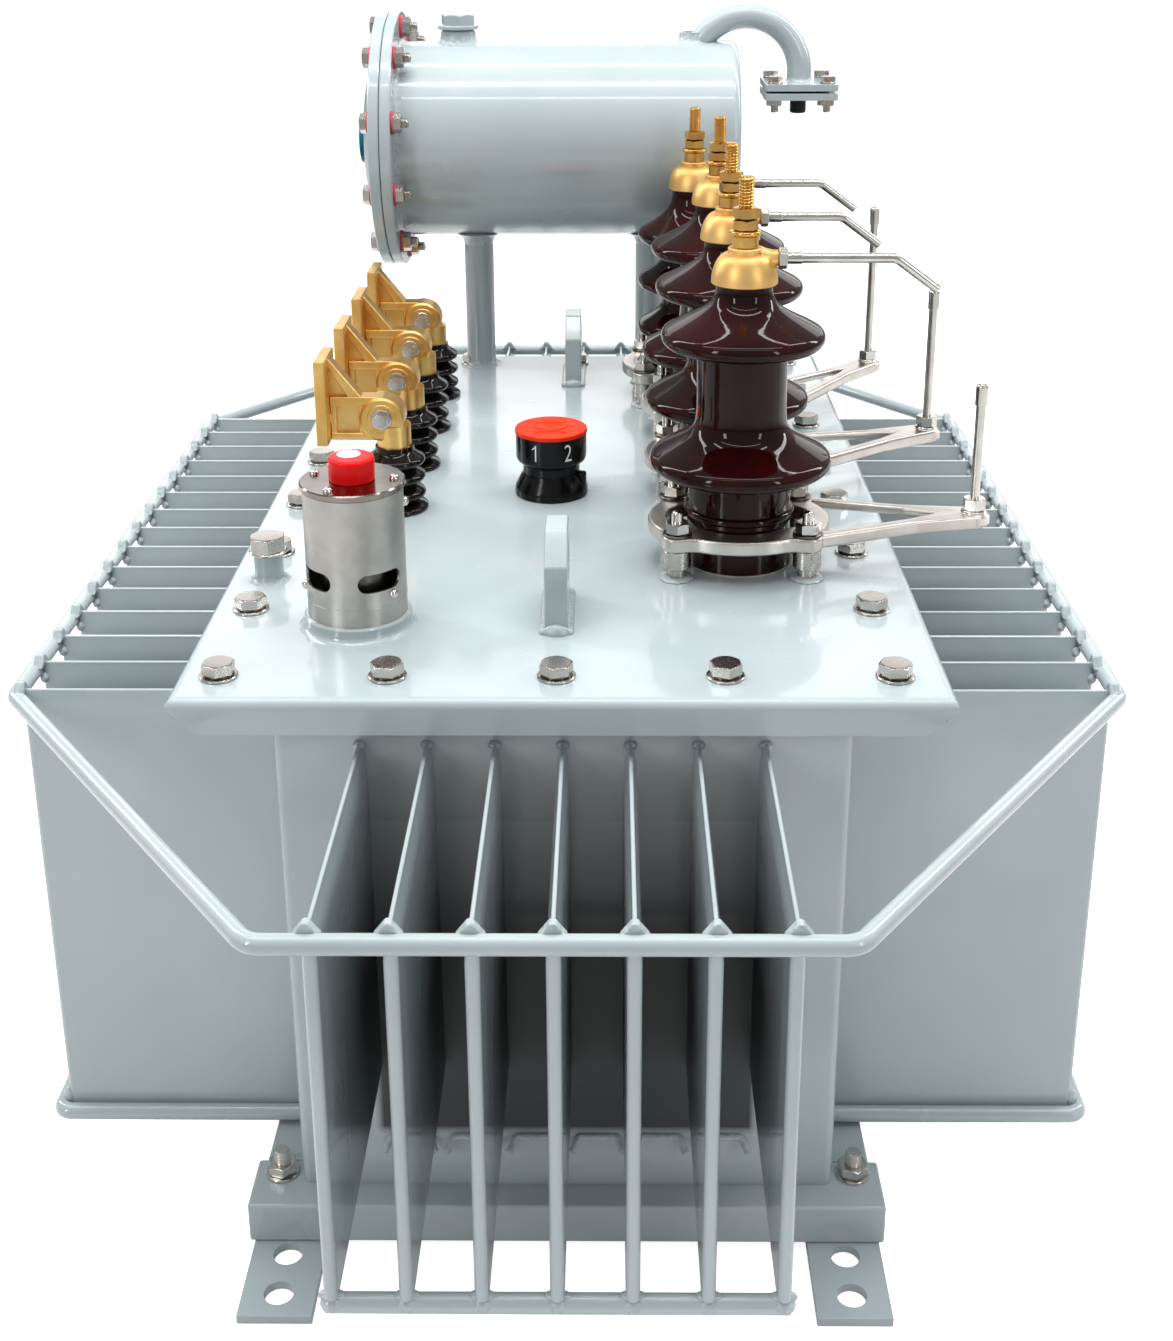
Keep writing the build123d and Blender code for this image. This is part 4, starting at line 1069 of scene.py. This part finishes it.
def lv_terminals():
    """Cast clamps: a lobe round the stem with its pinch bolt, and a palm on a web with ribs round it."""
    castings = Piece("lv_terminals_dressed", CAST_BRASS, "terminal_brass")
    heads = Piece("lv_clamp_bolts", STEEL, "stainless")
    face, lobe_x = -49.5, -8
    palm = plate(rectangle(-24, 24, 60, 129), 9, 1.2, 3, [((0, 77.5), 6.5), ((0, 111.5), 6.5)])
    web = plate([(face, 62), (face, 126), (-28, 93), (lobe_x, 93), (lobe_x, 62)], 6)
    brace = eased(plate([(face - 1, 129), (face - 1, 121), (-31, 89), (-24, 95.5)], 15), 1.2, 3)
    ribs = [((face, -8, 88.5), (lobe_x, 8, 96)), ((face, -7.8, 60), (lobe_x, 7.8, 66)),
            ((face, -6.6, 62), (-44.5, 6.6, 92)), ((-27, -6.4, 62), (-22.5, 6.4, 92))]
    stem = turned([(9, 50), (13, 50), (13.6, 50.8), (13.6, 72), (9, 72)], 48)
    lobe = disc(17.8, 24, 1.6, 56)
    pad = disc(12.4, 25.2, 1.2, 48)
    for y in LV_YS:
        here = at(LV_X, y, DECK)
        castings.add(palm, here @ side_on(face - 9, 0, 0))
        castings.add(web, here @ head_on(0, 3, 0))
        castings.add(brace, here @ head_on(0, 7.5, 0))
        for low, high in ribs:
            castings.add(block(low, high, 1.3, 3), here)
        castings.add(stem, here)
        castings.add(lobe, here @ lying(lobe_x, -12, 78.2, (0, 1, 0)))
        castings.add(pad, here @ lying(lobe_x, -12.6, 79, (0, 1, 0)))
        for side in (-1, 1):
            place = here @ lying(lobe_x, side * 12.8, 79, (0, side, 0))
            heads.add(disc(8.2, 1.6, 0.4, 36), place)
            heads.add(hexagon(11.6, 6), place @ at(0, 0, 1.6, 12))
    castings.done("lv_terminals")
    heads.done()


# Deck fittings
def lugs():
    """Upright plates with an eye, welded to the lid at the front and the back."""
    low, high = spot("lifting_lugs")
    half, thick, x = 35, high.x - low.x, middle("lifting_lugs").x
    outline = [(-half, 0), (half, 0), (half, 48), (15, 68), (-15, 68), (-half, 48)]
    one = plate(outline, thick, 1.5, 3, [((0, 42), 15)])
    bead = eased(block((-4, -37, -2), (4, 37, 4)), 3, 3)
    dot = ball(9, (1.1, 0.6, 0.7))
    eyes = Piece("lifting_lugs_dressed", PAINT, "tank_paint")
    welds = Piece("lug_welds", WELD, "tank_paint")
    for y in (low.y + half, high.y - half):
        eyes.add(one, side_on(low.x, y, DECK))
        welds.add(bead, at(low.x, y, DECK), at(high.x, y, DECK))
        welds.add(dot, at(x, y - half, DECK + 1), at(x, y + half, DECK + 1))
    eyes.done("lifting_lugs")
    welds.done()


def numeral(text, size):
    """A narrow number cut from a thin sheet."""
    curve = bpy.data.curves.new("numeral", "FONT")
    curve.body = text
    curve.size = size
    curve.offset = -0.22
    curve.extrude = 0.1
    curve.align_x = "CENTER"
    curve.align_y = "CENTER"
    holder = bpy.data.objects.new("numeral", curve)
    bm = bmesh.new()
    bm.from_mesh(holder.to_mesh())
    holder.to_mesh_clear()
    bpy.data.objects.remove(holder)
    bmesh.ops.scale(bm, vec=(0.72, 1, 1), verts=bm.verts)
    return bm


def tap_changer():
    """A black switch head on a waist and a sloped foot, with an orange cap, numerals and a pointer."""
    x, y = middle("tap_cap").x, middle("tap_cap").y
    top = DECK + 53
    foot = [(0, 0), (29.6, 0), (30.2, 0.7), (30.2, 4.4), (29.6, 7.6), (25.2, 16.4), (24, 18), (23.4, 20)]
    head = [(23.4, 26), (25.2, 27.6), (28, 30), (29, 32.4), (29.2, 53), (0, 53)]
    body = Piece("tap_changer_dressed", TAP_BLACK, "tap_plastic")
    body.add(turned([*foot, *head], 72), at(x, y, DECK))
    body.add(block((22.8, -3.6, 0), (29.8, 3.6, 20.5), 2.4, 4), at(x, y, DECK, -14))
    body.done("tap_changer")
    cap = Piece("tap_cap_dressed", TAP_ORANGE, "tap_cap_plastic")
    edge = arc((28.6, 2.6), 1.2, 0, 90, 4)
    lid_shape = [(0, 0), (29.4, 0), (29.8, 0.4), (29.8, 2.6), *edge, (27, 3.6), (0, 3.6)]
    cap.add(turned(lid_shape, 72), at(x, y, top))
    ridge = [(px, py - 38.5, 3.5) for px, py in arc((0, 0), 27, 62, 118, 14)]
    cap.add(bar(ridge, 0.9, 0, 8), at(x, y, top), at(x, y, top, 180))
    ring = turned([(7.5, 3.2), (14.5, 3.2), (14, 4.2), (13.4, 4.2), (12.8, 3.7), (7.5, 3.7)], 56)
    cap.add(ring, at(x, y + 5, top)).done("tap_cap")
    figures = Piece("tap_numerals", WHITE_INK_AND_HIGHLIGHT, "tap_plastic")
    for i in range(5):
        angle = radians(-114 + 54.2 * i)
        away = Vector((cos(angle), sin(angle), 0))
        turn = Matrix.Rotation(angle + pi / 2, 4, "Z") @ Matrix.Rotation(pi / 2, 4, "X")
        place = Matrix.Translation(Vector((x, y, DECK + 41.5)) + away * 29.1) @ turn
        figures.add(numeral(str(i + 1), 21), place)
        if i == 0:
            flag = block((0, -0.5, -0.1), (4.4, 0.5, 0.1))
            figures.add(flag, place @ at(0.3, 6.8, 0, 221))
    figures.done()


def slotted_sleeve(radius, wall, low, high, slots, slot_z, half_length, half_height):
    """A thin sleeve with round-ended slots, its cut edges drawn onto their outlines."""
    bm = bmesh.new()
    bmesh.ops.create_grid(bm, x_segments=120, y_segments=40, size=0.5)
    long = tau * radius
    for vert in bm.verts:
        vert.co = ((vert.co.x + 0.5) * long, low + (vert.co.y + 0.5) * (high - low), 0)

    def offset(point):
        """The way from the nearest slot's middle line to a point."""
        turn = min(slots, key=lambda a: abs(a / 360 * long - point.x))
        off = point.x - turn / 360 * long
        flat = half_length - half_height
        return Vector((off - max(-flat, min(flat, off)), point.y - slot_z, 0))

    inside = [face for face in bm.faces if offset(face.calc_center_median()).length < half_height]
    bmesh.ops.delete(bm, geom=inside, context="FACES")
    for vert in bm.verts:
        way = offset(vert.co)
        if vert.is_boundary and way.length < half_height + 3:
            vert.co += way.normalized() * (half_height - way.length)
    for vert in bm.verts:
        turn = vert.co.x / radius
        vert.co = (radius * cos(turn), radius * sin(turn), vert.co.y)
    bmesh.ops.solidify(bm, geom=tidy(bm).faces[:], thickness=wall)
    return bm


def relief_valve():
    """A slotted steel sleeve on a painted ring, a polished lid held by small screws, and a red cap with a
    painted highlight on it.
    """
    x, y = middle("relief_body").x, middle("relief_body").y
    here = at(x, y, DECK)
    lid_low, lid_thick = 100, 5
    ring = Piece("relief_ring_dressed", PAINT, "tank_paint")
    hollow = sweep_line((41, 0), (38, 1.4), (37, 2.4), (36.8, 5), 5)
    ring.add(turned([(0, 0), (41, 0), *hollow, (36.8, 8.8), (35.6, 10), (0, 10)], 72), here)
    ring.done("relief_ring")
    body = Piece("relief_body_dressed", BRUSHED, "stainless")
    body.add(slotted_sleeve(34, 1.6, 10, lid_low, (39, 129, 219, 308), 41, 17, 6.6), here)
    body.add(turned([(33.8, 22.2), (34.25, 22.4), (34.25, 22.8), (33.8, 23)], 96), here)
    body.done("relief_body")
    core = Piece("relief_seat", DARK_STEEL, "stainless")
    core.add(turned([(0, 9), (32, 9), (32, 14), (27, 16), (24, 22), (24, 96), (0, 96)], 56), here).done()
    rim = Piece("relief_plate_dressed", POLISHED, "stainless")
    rim.add(disc(35.6, lid_thick, 0.8, 96), here @ at(0, 0, lid_low)).done("relief_plate")
    screws = Piece("relief_screws", STEEL, "stainless")
    head = turned([(0, 0), (3.4, 0), *arc((0.4, 0.6), 3, 0, 80, 5), (0, 3.7)], 20)
    for turn in (0, 75, 126, 161, 244):
        screws.add(head, here @ at(*polar(28.5, turn), lid_low + lid_thick - 0.2))
    for turn, z in ((187, 30), (323, 30), (5, 88), (95, 88)):
        screws.add(head, here @ lying(*polar(33.8, turn), z, (*polar(1, turn), 0)))
    screws.done()
    cap = Piece("relief_cap_dressed", RED_CAP, "relief_cap_plastic")
    edge = arc((13.2, 14), 2.4, 0, 90, 5)
    cap.add(turned([(0, 0), (15, 0), (15.4, 0.5), (15.6, 13.8), *edge, (0, 16.4)], 56),
            here @ at(0, 0, lid_low + lid_thick)).done("relief_cap")
    # Painted highlight: a thin white disc on the cap's top, a little left of and behind its middle
    painted_highlight = Piece("relief_cap_painted_highlight", WHITE_INK_AND_HIGHLIGHT, "relief_cap_plastic")
    painted_highlight.add(disc(8, 0.4, 0.1, 40), here @ at(-2, 3.5, 121.2)).done()


def stub():
    """A short pipe on the lid, closed by a plug with its washer."""
    x, y = middle("stub_pipe").x, middle("stub_pipe").y
    pipe = Piece("stub_pipe_dressed", PAINT, "tank_paint")
    pipe.add(disc(10.5, 21, 0.5, 36), at(x, y, DECK)).done("stub_pipe")
    plug = Piece("stub_plug", BOLT_STEEL, "stainless")
    plug.add(disc(14, 2.5, 0.8, 40), at(x, y, DECK + 21))
    plug.add(hexagon(24, 11), at(x, y, DECK + 23.3, 11)).done()
    weld = Piece("stub_weld", WELD, "tank_paint")
    weld.add(collar(10.5, 5, 6), at(x, y, DECK)).done()


foot_plates()
base_frame()
earth_bolts()
lid()
lid_bolts()
fins()
weld_ledge()
top_ring()
low_bars()
conservator()
breather()
hv_bushings()
hv_caps()
hv_studs()
hv_clamps()
horns()
lv_bushings()
lv_terminals()
lugs()
tap_changer()
relief_valve()
stub()
# The tank wall carries the painted shade between the fins too
coat("tank_body", FIN_ENAMEL_SHADED)
coat("tank_rim", PAINT)


# Camera, light and floor; the camera's focal length and centre are in the photograph's pixels
FRAME_WIDTH, FRAME_HEIGHT = 1173, 1341
CAMERA_FOCAL = 1718.44
CAMERA_CENTRE = (593.41, 442.5)
CAMERA_PLACE = Vector((0.03009, -1.37249, 0.92467))
CAMERA_YAW = -0.00969
CAMERA_PITCH = radians(18.459)
CAMERA_ROLL = -0.0032
# The world's strength as it lights the piece, as bright metal and glaze mirror it, and as it is seen
AMBIENT, MIRRORED, SEEN = 0.24, 0.42, 1.0
FLOOR_LIFT = 0.84
scene = bpy.context.scene


def eye():
    """The camera, set so that the frame's upright lines and round shapes fall as in the photograph."""
    data = bpy.data.cameras.new("eye")
    data.sensor_width = 36
    data.lens = CAMERA_FOCAL * 36 / FRAME_HEIGHT
    data.shift_x = (FRAME_WIDTH / 2 - CAMERA_CENTRE[0]) / FRAME_HEIGHT
    data.shift_y = (CAMERA_CENTRE[1] - FRAME_HEIGHT / 2) / FRAME_HEIGHT
    data.clip_end = 100
    camera = bpy.data.objects.new("eye", data)
    aim = Matrix.Rotation(-CAMERA_YAW, 4, "Z") @ Matrix.Rotation(pi / 2 - CAMERA_PITCH, 4, "X")
    camera.matrix_world = Matrix.Translation(CAMERA_PLACE) @ aim @ Matrix.Rotation(CAMERA_ROLL, 4, "Z")
    scene.collection.objects.link(camera)
    scene.camera = camera


def soft_light(name, place, aim, width, height, power):
    data = bpy.data.lights.new(name, "AREA")
    data.shape = "RECTANGLE"
    data.size = width
    data.size_y = height
    data.energy = power
    lamp = bpy.data.objects.new(name, data)
    lamp.matrix_world = lying(*place, Vector(place) - Vector(aim))
    scene.collection.objects.link(lamp)
    return lamp


def surroundings():
    """A white world that lights the piece less than it is seen."""
    world = bpy.data.worlds.new("studio")
    world.use_nodes = True
    scene.world = world
    air = Nodes(world.node_tree)
    mirrored, seen = [air.node("LightPath", {}, {}, f"Is {ray} Ray") for ray in ("Glossy", "Camera")]
    strength = air.node("Mix", {}, {0: mirrored, 2: AMBIENT, 3: MIRRORED})
    strength = air.node("Mix", {}, {0: seen, 2: strength, 3: SEEN})
    back = air.tree.nodes["Background"]
    back.inputs["Color"].default_value = (1, 1, 1, 1)
    air.tree.links.new(strength.socket, back.inputs["Strength"])


def floor():
    """A pale floor, lifted to white where it is seen, that keeps the shadow."""
    paint = Finish("floor", Base_Color=(0.8, 0.8, 0.8, 1), Roughness=0.9, Specular_IOR_Level=0.1,
                   Emission_Color=(1, 1, 1, 1))
    paint.feed("Emission Strength", paint.node("LightPath", {}, {}, "Is Camera Ray") * FLOOR_LIFT)
    bm = bmesh.new()
    bmesh.ops.create_grid(bm, x_segments=1, y_segments=1, size=40)
    mesh = bpy.data.meshes.new("floor")
    bm.to_mesh(mesh)
    bm.free()
    mesh.materials.append(paint.material)
    ground = bpy.data.objects.new("floor", mesh)
    scene.collection.objects.link(ground)


def lamps():
    """A large lamp and three strips overhead, narrow lamps round the sides, and a wide one behind."""
    soft_light("overhead", (0.0, 0.2, 3.2), (0, 0, 0.3), 2.6, 2.6, 108).visible_glossy = False
    for number, (y, width, power) in enumerate(((-1.2, 0.07, 9), (-0.3, 0.16, 22), (0.9, 0.07, 9))):
        soft_light(f"strip_{number + 1}", (0.0, y, 3.0), (0, y * 0.4, 0.4), 3.4, width, power)
    soft_light("left_front", (-2.2, -2.6, 1.8), (0, 0, 0.5), 0.4, 1.6, 24)
    soft_light("right_front", (2.3, -2.4, 1.6), (0, 0, 0.5), 0.3, 1.6, 14)
    for name, x in (("left_side", -2.0), ("right_side", 2.0)):
        soft_light(name, (x, 0.9, 2.0), (0, 0, 0.6), 0.28, 2.2, 24)
    soft_light("behind", (0.0, 4.6, 2.0), (0, 0, 0.4), 7.0, 2.0, 52)


eye()
surroundings()
floor()
lamps()
scene.view_settings.view_transform = "Standard"
